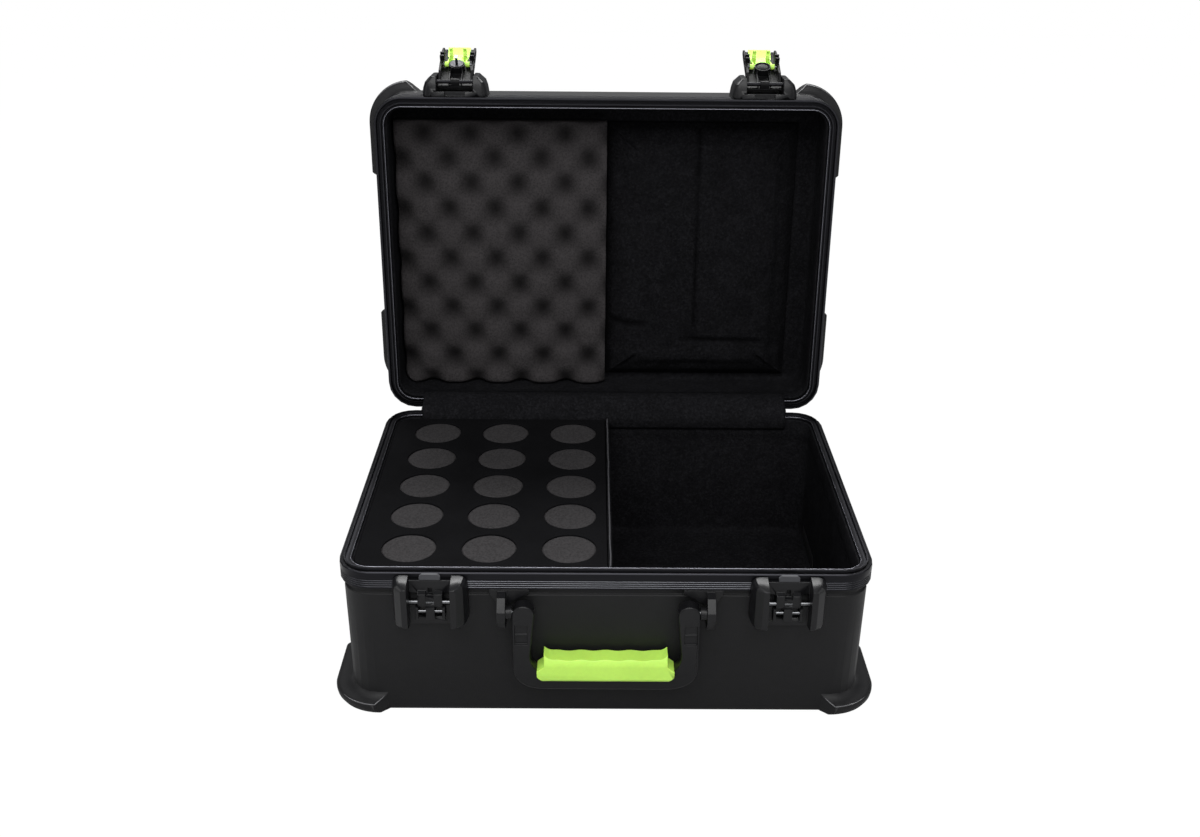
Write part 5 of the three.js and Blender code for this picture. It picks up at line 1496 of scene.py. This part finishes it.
def build_world():
    """White for the camera and dim light for everything else."""
    world = bpy.data.worlds.new("studio")
    bpy.context.scene.world = world
    world.use_nodes = True
    kinds = ("OutputWorld", "MixShader", "LightPath", "Background", "Background")
    output, mix, path, white, room, links = emptied(world.node_tree, *kinds)
    for node, colour, strength in ((white, (1, 1, 1, 1), 1.0), (room, (0.95, 0.97, 1, 1), 0.12)):
        node.inputs["Color"].default_value = colour
        node.inputs["Strength"].default_value = strength
    links.new(path.outputs["Is Camera Ray"], mix.inputs["Fac"])
    links.new(room.outputs[0], mix.inputs[1])
    links.new(white.outputs[0], mix.inputs[2])
    links.new(mix.outputs[0], output.inputs["Surface"])


def build_floor():
    """Paper that the camera sees as white and that throws less light back on the case."""
    material = bpy.data.materials.new("floor_paper")
    material.use_nodes = True
    kinds = ("OutputMaterial", "MixShader", "LightPath", "MixShader", "Emission", "BsdfDiffuse")
    output, outer, path, seen, glow, paper, links = emptied(material.node_tree, *kinds)
    glow.inputs["Color"].default_value = (1, 1, 1, 1)
    glow.inputs["Strength"].default_value = 1.04
    paper.inputs["Color"].default_value = (0.45, 0.45, 0.45, 1)
    seen.inputs["Fac"].default_value = 0.96
    links.new(paper.outputs[0], seen.inputs[1])
    links.new(glow.outputs[0], seen.inputs[2])
    links.new(path.outputs["Is Camera Ray"], outer.inputs["Fac"])
    links.new(paper.outputs[0], outer.inputs[1])
    links.new(seen.outputs[0], outer.inputs[2])
    links.new(outer.outputs[0], output.inputs["Surface"])
    bm = bmesh.new()
    side = 2 * FLOOR_HALF
    grid(bm, lambda u, v: Vector(((u - 0.5) * side, (v - 0.5) * side, -0.4)), 4, 4)
    made("floor", bm, material, None)


def build_lights():
    """Large soft lamps, in metres and watts: name, place, aim, size, power."""
    for name, place, aim, size, power in (
        ("key_soft", (-0.1, -1.5, 2.2), (0, 0, 0.25), (2.6, 1.5), 66),
        ("front_soft", (0.1, -2.6, 1.1), (0, 0, 0.2), (2.0, 0.9), 13),
        ("left_soft", (-1.9, -0.7, 1.0), (0, 0, 0.15), (0.8, 1.6), 10),
        ("right_soft", (1.9, -0.6, 1.0), (0, 0, 0.15), (0.8, 1.6), 8),
        ("rim_soft", (0.0, 1.2, 1.9), (0, 0.2, 0.5), (2.2, 0.6), 72),
    ):
        light = bpy.data.lights.new(name, "AREA")
        light.shape = "RECTANGLE"
        light.size, light.size_y = size
        light.energy = power
        obj = linked(name, light)
        obj.location = place
        obj.rotation_euler = (Vector(aim) - Vector(place)).to_track_quat("-Z", "Y").to_euler()


def build_camera():
    """The photograph's camera, fitted to the outlines of base and lid."""
    camera = bpy.data.cameras.new("camera")
    camera.sensor_fit = "HORIZONTAL"
    camera.sensor_width = 36.0
    camera.lens = CAMERA_LENS
    camera.clip_start = 0.01
    obj = linked("camera", camera)
    yaw, pitch, roll = CAMERA_ANGLES
    level = math.cos(pitch)
    forward = Vector((math.sin(yaw) * level, math.cos(yaw) * level, -math.sin(pitch)))
    side = Vector((math.cos(yaw), -math.sin(yaw), 0))
    up = side.cross(forward)
    right = side * math.cos(roll) + up * math.sin(roll)
    above = up * math.cos(roll) - side * math.sin(roll)
    turn = Matrix((right, above, -forward)).transposed().to_4x4()
    obj.matrix_world = Matrix.Translation(CAMERA_PLACE) @ turn
    bpy.context.scene.camera = obj
    bpy.context.scene.view_settings.view_transform = "Standard"


def register():
    for cls in CLASSES:
        bpy.utils.register_class(cls)
    bpy.types.Scene.mic_case = bpy.props.PointerProperty(type=MicCaseSettings)


def unregister():
    del bpy.types.Scene.mic_case
    for cls in reversed(CLASSES):
        bpy.utils.unregister_class(cls)


def main():
    FRAME.update(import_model())
    register()
    for operator in OPERATORS:
        group, name = operator.bl_idname.split(".")
        getattr(getattr(bpy.ops, group), name)()


if __name__ == "__main__":
    main()
